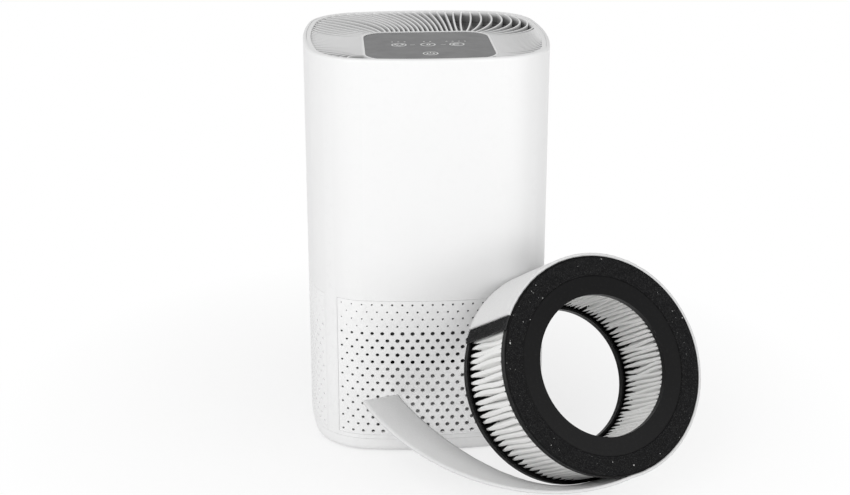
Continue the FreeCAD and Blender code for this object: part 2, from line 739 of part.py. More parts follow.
def swirl_vane(start, outward, end, low, high):
    """A curved blade that leaves the panel border squarely and bends round to the rim."""
    chord = end - start
    side = V(-outward.y, outward.x, 0)
    radius = chord.dot(chord) / (2 * chord.dot(side))
    centre = start + side * radius
    sweep = 2 * math.atan2(chord.dot(side), chord.dot(outward))
    overrun = 1.0 / radius
    arms = [FreeCAD.Rotation(V(0, 0, 1), math.degrees(angle)).multVec(side * -1)
            for angle in (-overrun, sweep / 2, sweep + overrun)]
    rails = []
    for reach in (radius - vane_thickness / 2, radius + vane_thickness / 2):
        rails.append([centre + arm * reach + V(0, 0, low) for arm in arms])
    inner = Part.Arc(*rails[0]).toShape()
    outer = Part.Arc(*rails[1]).toShape()
    ends = [Part.makeLine(rails[0][k], rails[1][k]) for k in (0, 2)]
    face = Part.Face(Part.Wire([inner, ends[1], outer, ends[0]]))
    return face.extrude(V(0, 0, high - low))


def control_block(margin, low, high):
    """The control panel's plan, grown by margin."""
    return rounded_rectangle(control_half_width + margin, control_front + control_border - margin,
                             control_back + margin, control_corner + margin, low, high)


border_length = (control_corner + control_border) * (math.radians(30.0) + math.pi) + 2 * (
    control_back + control_border - control_front - 2 * (control_corner + control_border)) + 2 * (
    control_half_width - control_corner)


def outlet_grille():
    rim = frame_ring(collar_wall + seam, rim_width, grille_low, grille_top)
    high = grille_top - 0.6
    wall_ring = control_block(control_border, tray_top, high).cut(control_block(0, tray_top - 1, high + 1))
    wall_ring = wall_ring.common(prism(collar_wall + 2.6, tray_top, high))
    shelf = control_block(0.5, lens_low - 1.5, lens_low).cut(
        control_block(-2.2, lens_low - 2, lens_low + 1))
    pieces = [rim, wall_ring, shelf]
    for number in range(vane_count):
        share = number / (vane_count - 1)
        start, outward = border_point(share * border_length)
        end = rim_point(first_vane_bearing + swirl_turn * share, rim_width)
        vane = swirl_vane(start, outward, end, grille_low + 0.8, high)
        pieces.append(vane.common(prism(collar_wall + 1.0, grille_low, high)))
    for x, y in tray_posts():
        post = rod(tray_post, tray_top, lens_low - 0.5, x, y)
        pieces.append(post.common(control_block(control_border, tray_top, high)))
    grille = joined(pieces)
    for x, y in tray_posts():
        grille = grille.cut(rod(screw_radius + screw_fit, tray_top - 1, tray_top + 11, x, y))
    return grille


def tray_posts():
    y_front = control_front + 14.0
    y_back = control_back - 11.0
    side = control_half_width - 5.5
    return [(x, y) for x in (-side, side) for y in (y_front, y_back)]


def control_lens():
    plate = control_block(-seam, lens_low, lens_top)
    return plate.common(prism(rim_width + seam, lens_low - 1, lens_top + 1))


def touch_board():
    board = control_block(-2.6, lens_low - board_thickness, lens_low)
    board = board.common(prism(rim_width + 1.0, lens_low - 5, lens_low + 1))
    for x, y in tray_posts():
        board = board.cut(rod(tray_post + 0.5, lens_low - 5, lens_low - 0.2, x, y))
    return board


def indicator_leds():
    high = lens_low - board_thickness
    return group([block(x - 1.2, x + 1.2, y - 0.8, y + 0.8, high - 1.1, high)
                  for x, y in ((-24, -38), (0, -38), (24, -38), (0, -66), (-36, -38), (36, -38))])


# ------------------------------------------------------------------ electronics under the panel
def electronics_tray():
    body = control_block(0, tray_floor, tray_top)
    body = body.common(prism(rim_width, tray_floor - 1, tray_top + 1))
    body = body.cut(control_block(-tray_wall, tray_floor + 2.0, tray_top + 1))
    posts = [rod(tray_post, tray_floor, tray_top, x, y).common(control_block(0, tray_floor, tray_top))
             for x, y in tray_posts()]
    pads = [rod(3.0, tray_floor + 1, main_board_height, x, y) for x, y in board_holes()]
    tray = joined([body] + posts + pads)
    for x, y in tray_posts():
        tray = tray.cut(rod(screw_radius + screw_fit, tray_floor - 1, tray_top + 1, x, y))
        tray = tray.cut(rod(head_radius + 0.3, tray_floor - 1, tray_floor + 1.0, x, y))
    for x, y in board_holes():
        tray = tray.cut(rod(1.3, tray_floor + 3, main_board_height + 1, x, y))
    for x in (power_lead_x, motor_lead_door):
        start = V(x, control_back - 8.0, lead_height)
        wire_door = Part.makeCylinder(wire_radius + 0.6, 16.0, start, V(0, 1, 0))
        tray = tray.cut(wire_door)
    return tray


def board_holes():
    return [(x, y) for x in (-34.0, 34.0) for y in (control_front + 24.0, control_back - 24.0)]


def main_board():
    low = main_board_height
    board = block(-40.0, 40.0, control_front + 18.0, control_back - 18.0, low, low + board_thickness)
    for x, y in board_holes():
        board = board.cut(rod(1.35, low - 1, low + 3, x, y))
    return board


def board_components():
    """Connectors, chips and capacitors that stand on the main board."""
    top = main_board_height + board_thickness
    front = control_front + 18.0
    back = control_back - 18.0
    chips = [block(-8, 8, front + 29, front + 45, top, top + 1.6),
             block(14, 22, front + 23, front + 33, top, top + 1.4)]
    sockets = [block(2.0, 12.0, back - 8, back, top, top + 6.0),
               block(36.0, 40.0, front + 25, front + 35, top, top + 6.0),
               block(20.0, 27.0, back - 8, back - 1, top, top + 6.0)]
    cans = [rod(4.0, top, top + 9.0, -28, back - 24), rod(4.0, top, top + 9.0, -28, back - 36),
            rod(3.0, top, top + 7.0, -18, front + 19)]
    coil = [ring(5.0, 2.0, top, top + 5.0, 22, back - 20)]
    return group(chips + sockets + cans + coil)


# ------------------------------------------------------------------ power inlet and harnesses
socket_inner = half_width - 12.5


def dc_socket():
    barrel = Part.makeCylinder(socket_radius, half_width - socket_inner - 0.3,
                               V(0, socket_inner, socket_height), V(0, 1, 0))
    flange = block(-8.5, 8.5, half_width - wall - 2.0, half_width - wall, socket_height - 7.5,
                   socket_height + 7.5)
    flange = flange.common(prism(wall, socket_height - 10, socket_height + 10))
    bore = Part.makeCylinder(2.8, 9.0, V(0, half_width - 9.0, socket_height), V(0, 1, 0))
    pin = Part.makeCylinder(1.0, 8.0, V(0, half_width - 9.5, socket_height), V(0, 1, 0))
    return joined([joined([barrel, flange]).cut(bore), pin])


def power_harness():
    x, y = power_lead_x, power_lead_y
    low = socket_height + socket_radius + 3.0
    points = [V(x, y, low), V(x, y, lead_height), V(x, control_back - 17.0, lead_height)]
    return tube(points, wire_radius, 16.0)


def motor_harness():
    reach = motor_lead_reach
    low = deck_top + 3.2
    start = cup_screw_circle / root_two * 0.9
    points = [V(start, start, low), V(reach, reach, low), V(reach, reach, lead_height),
              V(motor_lead_door, control_back + 18.0, lead_height),
              V(motor_lead_door, control_back - 17.0, lead_height)]
    return tube(points, motor_wire_radius, 8.0)


# ------------------------------------------------------------------ every node
def build():
    for name, angle in (("front", 0), ("right", 90), ("back", 180), ("left", 270)):
        if name == "front":
            panel = intake_panel()
        nodes["intake_panel_" + name] = turned(panel, angle)
    nodes["outer_shell"] = outer_shell()
    nodes["bottom_frame"] = bottom_frame()
    nodes["bottom_frame_screws"] = group([screw(x, y, seat_height, 14.0, True)
                                          for x, y in four_corners(corner_screw)])
    nodes["base_cover"] = base_cover()
    nodes["rubber_feet"] = rubber_feet()

    fitted = FreeCAD.Placement(V(0, 0, cap_low), FreeCAD.Rotation())
    add_cartridge("filter_", fitted, ("cap_lower", "cap_upper", "foam_lower", "foam_upper"))
    nodes["filter_fleece"] = placed(ring(fleece_outer, fleece_inner, fleece_setback,
                                         filter_length - fleece_setback), fitted)

    place, axis, left, foot, base = lean_place()
    add_cartridge("loose_filter_", place, ("cap_back", "cap_front", "foam_back", "foam_front"))
    nodes["loose_filter_fleece"] = loose_fleece(place, axis, left, foot, base)
    hook_end = wrap_end + math.degrees(hook_width / fleece_outer) + 0.4
    hook = Part.makeCylinder(fleece_inner + hook_thickness, filter_length - 2 * fleece_setback,
                             V(0, 0, fleece_setback), V(0, 0, 1), hook_end - wrap_end - 0.4)
    hook = hook.cut(rod(fleece_inner, 0, filter_length))
    nodes["loose_filter_hook_strip"] = placed(turned(hook, wrap_end + 0.4), place)

    nodes["fan_base_plate"] = fan_base_plate()
    nodes["fan_base_screws"] = group([screw(x, y, deck_top, 14.0, False)
                                      for x, y in four_corners(corner_screw)])
    nodes["inlet_guard"] = inlet_guard()
    guard_screw = screw(guard_screw_circle, 0, deck_top + 1.5, 4.2, False, 3.0, 1.6)
    nodes["inlet_guard_screws"] = group(around(guard_screw, 4))
    nodes["motor_cup"] = motor_cup()
    cup_screw = screw(cup_screw_circle, 0, deck_height + 0.2 - cup_flange, 4.6, True, 2.9, 1.8)
    nodes["motor_cup_screws"] = group(around(cup_screw, cup_screws, 45.0))
    nodes["motor_cup_cap"] = motor_cup_cap()
    nodes["motor_can"] = motor_can()
    nodes["motor_end_bell"] = motor_end_bell()
    nodes["motor_bearings"] = motor_bearings()
    nodes["motor_magnets"] = motor_magnets()
    nodes["motor_shaft"] = motor_shaft()
    nodes["motor_rotor"] = motor_rotor()
    nodes["impeller"] = impeller()
    nodes["impeller_nut"] = impeller_nut()
    nodes["fan_housing"] = fan_housing()
    housing_screw = screw(housing_radius + housing_flange / 2, 0, deck_top + 2.0, 4.6, False, 2.4, 1.6)
    nodes["fan_housing_screws"] = group(around(housing_screw, 4, 22.5))
    nodes["outlet_stator"] = outlet_stator()
    nodes["plenum_plate"] = plenum_plate()

    nodes["outlet_grille"] = outlet_grille()
    nodes["control_lens"] = control_lens()
    nodes["touch_board"] = touch_board()
    nodes["indicator_leds"] = indicator_leds()
    nodes["electronics_tray"] = electronics_tray()
    nodes["tray_screws"] = group([screw(x, y, tray_floor + 1.0, tray_top - tray_floor + 8.0, True)
                                  for x, y in tray_posts()])
    nodes["main_board"] = main_board()
    board_top = main_board_height + board_thickness
    nodes["board_screws"] = group([screw(x, y, board_top, 6.0, False, 2.2, 1.4, 1.25)
                                   for x, y in board_holes()])
    nodes["board_components"] = board_components()
    nodes["dc_socket"] = dc_socket()
    nodes["power_harness"] = power_harness()
    nodes["motor_harness"] = motor_harness()


os.makedirs("parts", exist_ok=True)
build()
for name, shape in nodes.items():
    if not shape.isValid():
        raise ValueError(name + " is not a valid shape")
    shape.exportStep("parts/" + name + ".step")
    print(name, len(shape.Solids), round(shape.Volume / 1000, 2), "cm3")
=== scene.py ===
import math

import bpy
import numpy as np
from bpy.props import FloatProperty, FloatVectorProperty, IntProperty, PointerProperty
from bpy.types import Operator, Panel, PropertyGroup
from mathutils import Matrix, Vector


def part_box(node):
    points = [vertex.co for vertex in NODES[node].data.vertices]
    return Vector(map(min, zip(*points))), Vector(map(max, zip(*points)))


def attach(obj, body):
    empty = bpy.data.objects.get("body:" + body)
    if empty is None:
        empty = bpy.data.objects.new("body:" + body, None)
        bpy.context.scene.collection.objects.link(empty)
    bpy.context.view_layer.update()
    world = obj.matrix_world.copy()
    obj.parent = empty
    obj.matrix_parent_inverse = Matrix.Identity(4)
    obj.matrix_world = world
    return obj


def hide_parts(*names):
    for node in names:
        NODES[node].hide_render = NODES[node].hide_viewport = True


bl_info = {
    "name": "Air Purifier Finish",
    "version": (1, 0, 0),
    "blender": (4, 5, 0),
    "location": "3D View > Sidebar > Purifier",
    "description": "Surfaces, soft parts and studio for an air purifier with a leaning filter",
    "category": "Object",
}

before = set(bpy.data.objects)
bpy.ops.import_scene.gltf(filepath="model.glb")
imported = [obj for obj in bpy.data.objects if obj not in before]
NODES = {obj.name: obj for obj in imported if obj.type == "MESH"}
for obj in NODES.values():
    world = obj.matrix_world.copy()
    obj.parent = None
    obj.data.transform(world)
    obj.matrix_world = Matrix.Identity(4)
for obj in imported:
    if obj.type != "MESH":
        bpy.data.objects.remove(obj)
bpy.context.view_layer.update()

# Sizes read from the construction model, in metres
CAP_LOW, CAP_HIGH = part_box("filter_cap_lower"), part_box("filter_cap_upper")
CARTRIDGE_RADIUS = (CAP_LOW[1][0] - CAP_LOW[0][0]) / 2
CARTRIDGE_LENGTH = CAP_HIGH[1][2] - CAP_LOW[0][2]
CARTRIDGE_FLOOR = CAP_LOW[0][2]
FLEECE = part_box("filter_fleece")
FLEECE_RADIUS = (FLEECE[1][0] - FLEECE[0][0]) / 2
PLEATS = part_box("filter_pleats")
PLEAT_RADIUS = (PLEATS[1][0] - PLEATS[0][0]) / 2
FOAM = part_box("filter_foam_lower")
FOAM_RADIUS = (FOAM[1][0] - FOAM[0][0]) / 2
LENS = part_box("control_lens")
GRILLE_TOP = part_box("outlet_grille")[1][2]

# Fleece and hook tape leave a bare rim at both faces of the cartridge
STRIP_RIM = 0.001
STRIP_WIDTH = CARTRIDGE_LENGTH - 2 * STRIP_RIM


# ------------------------------------------------------------------ settings
class FilterSettings(PropertyGroup):
    """Sizes of the filter's soft parts."""

    pleat_count: IntProperty(name="Pleats", description="Folds round the cartridge", default=96, min=24)
    pleat_bore: FloatProperty(name="Pleat bore", description="Inside radius of the pleated paper",
                              default=0.0635, unit="LENGTH", subtype="DISTANCE")
    pleat_fold: FloatProperty(name="Fold depth", description="Depth of the grooves between two folds",
                              default=0.0088, unit="LENGTH", subtype="DISTANCE")
    foam_bore: FloatProperty(name="Foam bore", description="Inside radius of the foam ring",
                             default=0.0762, unit="LENGTH", subtype="DISTANCE")
    fleece_thickness: FloatProperty(name="Fleece thickness", description="Thickness of the fleece wrap",
                                    default=0.0026, unit="LENGTH", subtype="DISTANCE")
    wrap_end: FloatProperty(name="Wrap end", description="Where the loose fleece starts, from its left side",
                            default=math.radians(323.0), unit="ROTATION", subtype="ANGLE")
    tail_lead: FloatProperty(name="Tail lead", description="How far the loose end leaves the filter level",
                             default=0.072, unit="LENGTH", subtype="DISTANCE")
    tail_tip: FloatVectorProperty(name="Tail tip", description="Upper corner of the loose end",
                                  default=(-0.0322, -0.1104, 0.0585), unit="LENGTH", subtype="XYZ")
    tail_tip_run: FloatVectorProperty(name="Tip run", description="Direction of the loose end at its tip",
                                      default=(-0.0238, 0.0509, 0.0133), unit="LENGTH", subtype="XYZ")
    tail_middle_across: FloatVectorProperty(name="Middle edge", description="Width direction half way along",
                                            default=(-0.10, -0.59, -0.03), subtype="DIRECTION")
    tail_tip_across: FloatVectorProperty(name="Tip edge", description="Direction of the cut edge at the tip",
                                         default=(-0.4145, -0.8474, 0.3319), subtype="DIRECTION")
    hook_width: FloatProperty(name="Hook strip", description="Width of the hook-and-loop strip",
                              default=0.012, unit="LENGTH", subtype="DISTANCE")


class ColourSettings(PropertyGroup):
    """Colours of the finishes."""

    white_plastic: FloatVectorProperty(name="White plastic", description="Body, cover and grille",
                                       default=(0.86, 0.86, 0.86), subtype="COLOR", size=3)
    black_plastic: FloatVectorProperty(name="Black plastic", description="Filter end caps",
                                       default=(0.0045, 0.0045, 0.0048), subtype="COLOR", size=3)
    grey_plastic: FloatVectorProperty(name="Grey plastic", description="Guard and fan",
                                      default=(0.22, 0.22, 0.22), subtype="COLOR", size=3)
    control_glass: FloatVectorProperty(name="Control panel", description="Glossy touch panel",
                                       default=(0.105, 0.105, 0.108), subtype="COLOR", size=3)
    paper: FloatVectorProperty(name="Paper", description="Pleated filter paper",
                               default=(0.86, 0.86, 0.85), subtype="COLOR", size=3)
    fleece: FloatVectorProperty(name="Fleece", description="Fleece wrap",
                                default=(0.74, 0.74, 0.74), subtype="COLOR", size=3)
    foam: FloatVectorProperty(name="Foam", description="Foam sealing rings",
                              default=(0.006, 0.006, 0.0065), subtype="COLOR", size=3)


class StageSettings(PropertyGroup):
    """Camera and light."""

    distance: FloatProperty(name="Distance", description="Camera to the middle of the body",
                            default=1.4563, unit="LENGTH", subtype="DISTANCE")
    elevation: FloatProperty(name="Elevation", description="Camera above the level",
                             default=math.radians(18.815), unit="ROTATION", subtype="ANGLE")
    azimuth: FloatProperty(name="Azimuth", description="Camera round the body, from its front",
                           default=math.radians(-3.595), unit="ROTATION", subtype="ANGLE")
    aim_height: FloatProperty(name="Aim", description="Height the camera looks at", default=0.180,
                              unit="LENGTH", subtype="DISTANCE")
    lens: FloatProperty(name="Lens", description="Focal length in millimetres", default=65.5)
    key: FloatProperty(name="Key light", description="Power of the main softbox", default=14.0,
                       unit="POWER")
    fill: FloatProperty(name="Fill light", description="Power of the low softbox", default=5.0,
                        unit="POWER")
    ambient: FloatProperty(name="Ambient", description="Strength of the white surroundings", default=0.62)


def filter_settings():
    return bpy.context.scene.purifier_filter


def colour_settings():
    return bpy.context.scene.purifier_colours


def stage_settings():
    return bpy.context.scene.purifier_stage


# ------------------------------------------------------------------ node helpers
class Tree:
    """Adds nodes to a material or group and joins them by socket name."""

    def __init__(self, tree):
        self.tree = tree

    def add(self, kind, **values):
        node = self.tree.nodes.new(kind)
        for name, value in values.items():
            setattr(node, name, value)
        return node

    def link(self, source, target):
        self.tree.links.new(source, target)

    def feed(self, value, socket):
        """Links an output to the socket, or sets a number or a colour on it."""
        if isinstance(value, bpy.types.NodeSocket):
            self.link(value, socket)
        elif isinstance(value, (int, float)):
            socket.default_value = value
        else:
            socket.default_value = (*value, 1.0)

    def place(self):
        """Where the point lies on the object, in metres."""
        return self.add("ShaderNodeTexCoord").outputs["Object"]

    def math(self, operation, first, second=None, clamp=False):
        node = self.add("ShaderNodeMath", operation=operation, use_clamp=clamp)
        for socket, value in zip(node.inputs, (first, second)):
            if value is not None:
                self.feed(value, socket)
        return node.outputs[0]

    def noise(self, scale, detail=3.0, vector=None, roughness=0.55):
        node = self.add("ShaderNodeTexNoise")
        node.inputs["Scale"].default_value = scale
        node.inputs["Detail"].default_value = detail
        node.inputs["Roughness"].default_value = roughness
        if vector is not None:
            self.link(vector, node.inputs["Vector"])
        return node.outputs["Fac"]

    def spread(self, value, low, high, out_low=0.0, out_high=1.0):
        node = self.add("ShaderNodeMapRange")
        self.link(value, node.inputs["Value"])
        for socket, number in zip(("From Min", "From Max", "To Min", "To Max"),
                                  (low, high, out_low, out_high)):
            node.inputs[socket].default_value = number
        return node.outputs["Result"]

    def tint(self, factor, first, second):
        node = self.add("ShaderNodeMix", data_type="RGBA")
        for name, value in (("Factor", factor), ("A", first), ("B", second)):
            self.feed(value, node.inputs[name])
        return node.outputs["Result"]


def shade(colour, factor):
    return tuple(min(1.0, channel * factor) for channel in colour)


def group(name, inputs, outputs, build):
    """A shader node group, built once, with named inputs and outputs."""
    if name in bpy.data.node_groups:
        return bpy.data.node_groups[name]
    made = bpy.data.node_groups.new(name, "ShaderNodeTree")
    for socket, value in inputs.items():
        item = made.interface.new_socket(name=socket, in_out="INPUT", socket_type="NodeSocketFloat")
        item.default_value = value
    for socket in outputs:
        made.interface.new_socket(name=socket, in_out="OUTPUT", socket_type="NodeSocketFloat")
    tree = Tree(made)
    entry = made.nodes.new("NodeGroupInput")
    leave = made.nodes.new("NodeGroupOutput")
    build(tree, entry.outputs, leave.inputs)
    return made


def moulded_grain():
    """Fine spark-eroded texture of moulded plastic, with slow changes of gloss."""
    def build(tree, given, out):
        place = tree.place()
        grain = tree.add("ShaderNodeTexNoise")
        grain.inputs["Detail"].default_value = 4.0
        tree.link(place, grain.inputs["Vector"])
        tree.link(given["Scale"], grain.inputs["Scale"])
        slow = tree.noise(9.0, 2.0, place)
        tree.link(tree.math("MULTIPLY", grain.outputs["Fac"], given["Depth"]), out["Height"])
        tree.link(slow, out["Cloud"])
    return group("Moulded Grain", {"Scale": 2600.0, "Depth": 1.0}, ("Height", "Cloud"), build)


def edge_wear():
    """Corners and lips rubbed a little smoother and paler."""
    def build(tree, given, out):
        convex = tree.add("ShaderNodeNewGeometry").outputs["Pointiness"]
        place = tree.place()
        rough = tree.noise(140.0, 4.0, place)
        edge = tree.spread(convex, 0.52, 0.62)
        worn = tree.math("MULTIPLY", edge, tree.math("GREATER_THAN", rough, 0.42))
        tree.link(tree.math("MULTIPLY", worn, given["Amount"], clamp=True), out["Mask"])
    return group("Edge Wear", {"Amount": 0.5}, ("Mask",), build)


def settled_dust():
    """Light dust that lies on faces turned upwards."""
    def build(tree, given, out):
        facing = tree.add("ShaderNodeSeparateXYZ")
        tree.link(tree.add("ShaderNodeNewGeometry").outputs["Normal"], facing.inputs[0])
        place = tree.place()
        specks = tree.spread(tree.noise(520.0, 5.0, place, 0.7), 0.55, 0.75)
        up = tree.spread(facing.outputs["Z"], 0.3, 1.0)
        lying = tree.math("MULTIPLY", up, specks)
        tree.link(tree.math("MULTIPLY", lying, given["Amount"], clamp=True), out["Mask"])
    return group("Settled Dust", {"Amount": 0.3}, ("Mask",), build)


def matted_fibres():
    """Tangled fibres of felt, foam or hook tape: a height and a tint."""
    def build(tree, given, out):
        place = tree.place()
        long_fibres = tree.add("ShaderNodeTexNoise")
        long_fibres.inputs["Detail"].default_value = 6.0
        long_fibres.inputs["Distortion"].default_value = 2.4
        tree.link(place, long_fibres.inputs["Vector"])
        tree.link(given["Scale"], long_fibres.inputs["Scale"])
        cells = tree.add("ShaderNodeTexVoronoi")
        tree.link(place, cells.inputs["Vector"])
        tree.link(tree.math("MULTIPLY", given["Scale"], 0.8), cells.inputs["Scale"])
        mixed = tree.math("ADD", tree.math("MULTIPLY", long_fibres.outputs["Fac"], 0.7),
                          tree.math("MULTIPLY", cells.outputs["Distance"], given["Cells"]))
        tree.link(mixed, out["Height"])
        tree.link(tree.spread(long_fibres.outputs["Fac"], 0.3, 0.7), out["Tint"])
    return group("Matted Fibres", {"Scale": 900.0, "Cells": 0.3}, ("Height", "Tint"), build)


def start_material(name, roughness, specular=0.5, sheen=0.0):
    made = bpy.data.materials.new(name)
    made.use_nodes = True
    tree = Tree(made.node_tree)
    surface = made.node_tree.nodes["Principled BSDF"]
    surface.inputs["Roughness"].default_value = roughness
    surface.inputs["Specular IOR Level"].default_value = specular
    surface.inputs["Sheen Weight"].default_value = sheen
    return made, tree, surface


def use(tree, made, **values):
    node = tree.add("ShaderNodeGroup", node_tree=made)
    for name, value in values.items():
        node.inputs[name].default_value = value
    return node.outputs


def bump(tree, surface, height, strength, distance):
    node = tree.add("ShaderNodeBump")
    node.inputs["Strength"].default_value = strength
    node.inputs["Distance"].default_value = distance
    tree.link(height, node.inputs["Height"])
    tree.link(node.outputs["Normal"], surface.inputs["Normal"])


# ------------------------------------------------------------------ finishes
DUST_COLOUR = (0.42, 0.41, 0.40)


def moulded_plastic(name, colour, roughness, depth=0.00003, dust=0.05, wear=0.25, shine=0.5):
    """Plastic with a fine grain, rubbed edges and a little dust on top."""
    made, tree, surface = start_material(name, roughness, shine)
    grain = use(tree, moulded_grain())
    worn = use(tree, edge_wear(), Amount=wear)["Mask"]
    dusty = use(tree, settled_dust(), Amount=dust)["Mask"]
    base = tree.tint(grain["Cloud"], shade(colour, 0.975), shade(colour, 1.02))
    base = tree.tint(worn, base, shade(colour, 1.12))
    base = tree.tint(dusty, base, DUST_COLOUR)
    tree.link(base, surface.inputs["Base Color"])
    gloss = tree.spread(grain["Cloud"], 0.2, 0.8, roughness - 0.04, roughness + 0.05)
    tree.link(tree.math("SUBTRACT", gloss, tree.math("MULTIPLY", worn, 0.12)), surface.inputs["Roughness"])
    bump(tree, surface, grain["Height"], 0.35, depth)
    return made


def vane_plastic_painted_shade(colour):
    """White plastic of the outlet with painted shade: it turns grey with depth below the rim, so that each
    vane stands out.
    """
    grey_starts, grey_full = 0.0009, 0.0045
    made, tree, surface = start_material("vane_plastic_painted_shade", 0.42)
    place = tree.place()
    grain = use(tree, moulded_grain())
    height = tree.add("ShaderNodeSeparateXYZ")
    tree.link(place, height.inputs[0])
    # Painted shade: the grille darkens to grey from just below its top edge downwards, patchy by noise.
    below = tree.spread(height.outputs["Z"], GRILLE_TOP - grey_full, GRILLE_TOP - grey_starts, 1.0, 0.0)
    patchy_shade = tree.spread(tree.noise(70.0, 4.0, place), 0.3, 0.7, 0.8, 1.0)
    base = tree.tint(grain["Cloud"], shade(colour, 0.98), shade(colour, 1.03))
    base = tree.tint(tree.math("MULTIPLY", below, patchy_shade), base, shade(colour, 0.30))
    tree.link(base, surface.inputs["Base Color"])
    bump(tree, surface, grain["Height"], 0.35, 0.00003)
    return made


def gloss_black():
    """Lacquered black of the motor column."""
    made = moulded_plastic("gloss_black", (0.012, 0.012, 0.013), 0.16, 0.00001, 0.10, 0.10)
    made.node_tree.nodes["Principled BSDF"].inputs["Coat Weight"].default_value = 0.6
    return made


def control_glass(colour):
    """Smoked panel: smooth gloss with faint finger haze."""
    made, tree, surface = start_material("control_panel", 0.2)
    place = tree.place()
    haze = tree.noise(60.0, 5.0, place, 0.65)
    tree.link(tree.tint(haze, shade(colour, 0.94), shade(colour, 1.08)), surface.inputs["Base Color"])
    tree.link(tree.spread(haze, 0.3, 0.75, 0.28, 0.40), surface.inputs["Roughness"])
    surface.inputs["Coat Weight"].default_value = 0.15
    surface.inputs["Coat Roughness"].default_value = 0.2
    return made


def printed_marks():
    """White ink of the key symbols."""
    made, tree, surface = start_material("printed_marks", 0.45)
    place = tree.place()
    ink = tree.noise(900.0, 2.0, place)
    tree.link(tree.tint(ink, (0.78, 0.78, 0.78), (0.88, 0.88, 0.88)), surface.inputs["Base Color"])
    return made


def steel():
    """Plated steel with fine turning marks."""
    made, tree, surface = start_material("plated_steel", 0.3)
    surface.inputs["Metallic"].default_value = 1.0
    place = tree.place()
    turned = tree.add("ShaderNodeTexWave", wave_type="RINGS", rings_direction="Z")
    turned.inputs["Scale"].default_value = 900.0
    turned.inputs["Distortion"].default_value = 3.0
    tree.link(place, turned.inputs["Vector"])
    marks = turned.outputs["Fac"]
    tree.link(tree.tint(marks, (0.42, 0.42, 0.43), (0.55, 0.55, 0.56)), surface.inputs["Base Color"])
    tree.link(tree.spread(marks, 0.0, 1.0, 0.24, 0.36), surface.inputs["Roughness"])
    bump(tree, surface, marks, 0.2, 0.00001)
    return made


def cast_dark():
    """Dark sintered metal of the rotor and magnets."""
    made, tree, surface = start_material("sintered_metal", 0.6)
    surface.inputs["Metallic"].default_value = 0.6
    grain = use(tree, moulded_grain(), Scale=1800.0)
    tree.link(tree.tint(grain["Height"], (0.05, 0.05, 0.05), (0.14, 0.14, 0.14)),
              surface.inputs["Base Color"])
    bump(tree, surface, grain["Height"], 0.5, 0.00005)
    return made


def fibrous(name, colour, scale, cells, depth, contrast, roughness=0.95):
    """Fleece and hook tape."""
    made, tree, surface = start_material(name, roughness, specular=0.2, sheen=0.15)
    fibres = use(tree, matted_fibres(), Scale=scale, Cells=cells)
    tree.link(tree.tint(fibres["Tint"], shade(colour, 1.0 - contrast), shade(colour, 1.0 + contrast)),
              surface.inputs["Base Color"])
    bump(tree, surface, fibres["Height"], 0.8, depth)
    return made


def open_cell_foam(colour):
    """Black foam with painted highlights: grey specks where its torn cell walls catch the light."""
    made, tree, surface = start_material("black_foam", 0.95, 0.12)
    place = tree.place()
    cells = tree.add("ShaderNodeTexVoronoi", feature="DISTANCE_TO_EDGE")
    cells.inputs["Scale"].default_value = 900.0
    tree.link(place, cells.inputs["Vector"])
    # Painted highlight: cell edges, in noisy patches, are tinted grey as if lit.
    walls = tree.spread(cells.outputs["Distance"], 0.0, 0.25, 1.0, 0.0)
    patches = tree.spread(tree.noise(1300.0, 4.0, place, 0.7), 0.48, 0.66)
    specks = tree.math("MULTIPLY", walls, patches)
    torn = tree.tint(specks, colour, (0.06, 0.06, 0.06))
    lint = tree.math("GREATER_THAN", tree.noise(330.0, 2.0, place), 0.735)
    tree.link(tree.tint(lint, torn, (0.55, 0.55, 0.54)), surface.inputs["Base Color"])
    bump(tree, surface, cells.outputs["Distance"], 1.0, 0.0006)
    return made


def pleated_paper(colour):
    """White paper whose dark bond creeps up the folds from both end caps, with painted shade in the valleys
    between the folds.
    """
    made, tree, surface = start_material("filter_paper", 0.85, 0.25)
    place = tree.place()
    fold = tree.add("ShaderNodeAttribute", attribute_name="fold").outputs["Fac"]
    from_low = tree.add("ShaderNodeAttribute", attribute_name="rise").outputs["Fac"]
    from_high = tree.math("SUBTRACT", CARTRIDGE_LENGTH, from_low)
    near = tree.math("MINIMUM", from_low, from_high)
    bond_height, least_creep, most_creep = 0.0064, 0.008, 0.019
    flecks = tree.noise(260.0, 3.0, place)
    tooth = tree.spread(fold, 0.25, 0.95)
    creep = tree.math("MULTIPLY", tooth, tree.spread(flecks, 0.3, 0.7, least_creep, most_creep))
    reach = tree.math("ADD", creep, bond_height)
    bond = tree.math("LESS_THAN", near, reach)
    fibre = tree.noise(1500.0, 5.0, place)
    base = tree.tint(fibre, shade(colour, 0.96), shade(colour, 1.03))
    # Painted shade: the valleys of the folds are darkened towards grey.
    painted_valley_shade = tree.spread(fold, 0.80, 1.0)
    base = tree.tint(tree.math("MULTIPLY", painted_valley_shade, 0.30), base, shade(colour, 0.45))
    tree.link(tree.tint(bond, base, (0.012, 0.012, 0.012)), surface.inputs["Base Color"])
    tree.link(tree.spread(bond, 0.0, 1.0, 0.85, 0.4), surface.inputs["Roughness"])
    bump(tree, surface, fibre, 0.3, 0.0001)
    return made


def circuit_board():
    """Green board with faint tracks."""
    made, tree, surface = start_material("circuit_board", 0.35)
    place = tree.place()
    tracks = tree.add("ShaderNodeTexBrick")
    tracks.inputs["Scale"].default_value = 160.0
    tracks.inputs["Mortar Size"].default_value = 0.06
    tree.link(place, tracks.inputs["Vector"])
    tree.link(tree.tint(tracks.outputs["Fac"], (0.01, 0.09, 0.035), (0.02, 0.16, 0.06)),
              surface.inputs["Base Color"])
    bump(tree, surface, tracks.outputs["Fac"], 0.3, 0.00003)
    return made


FINISHES = {}


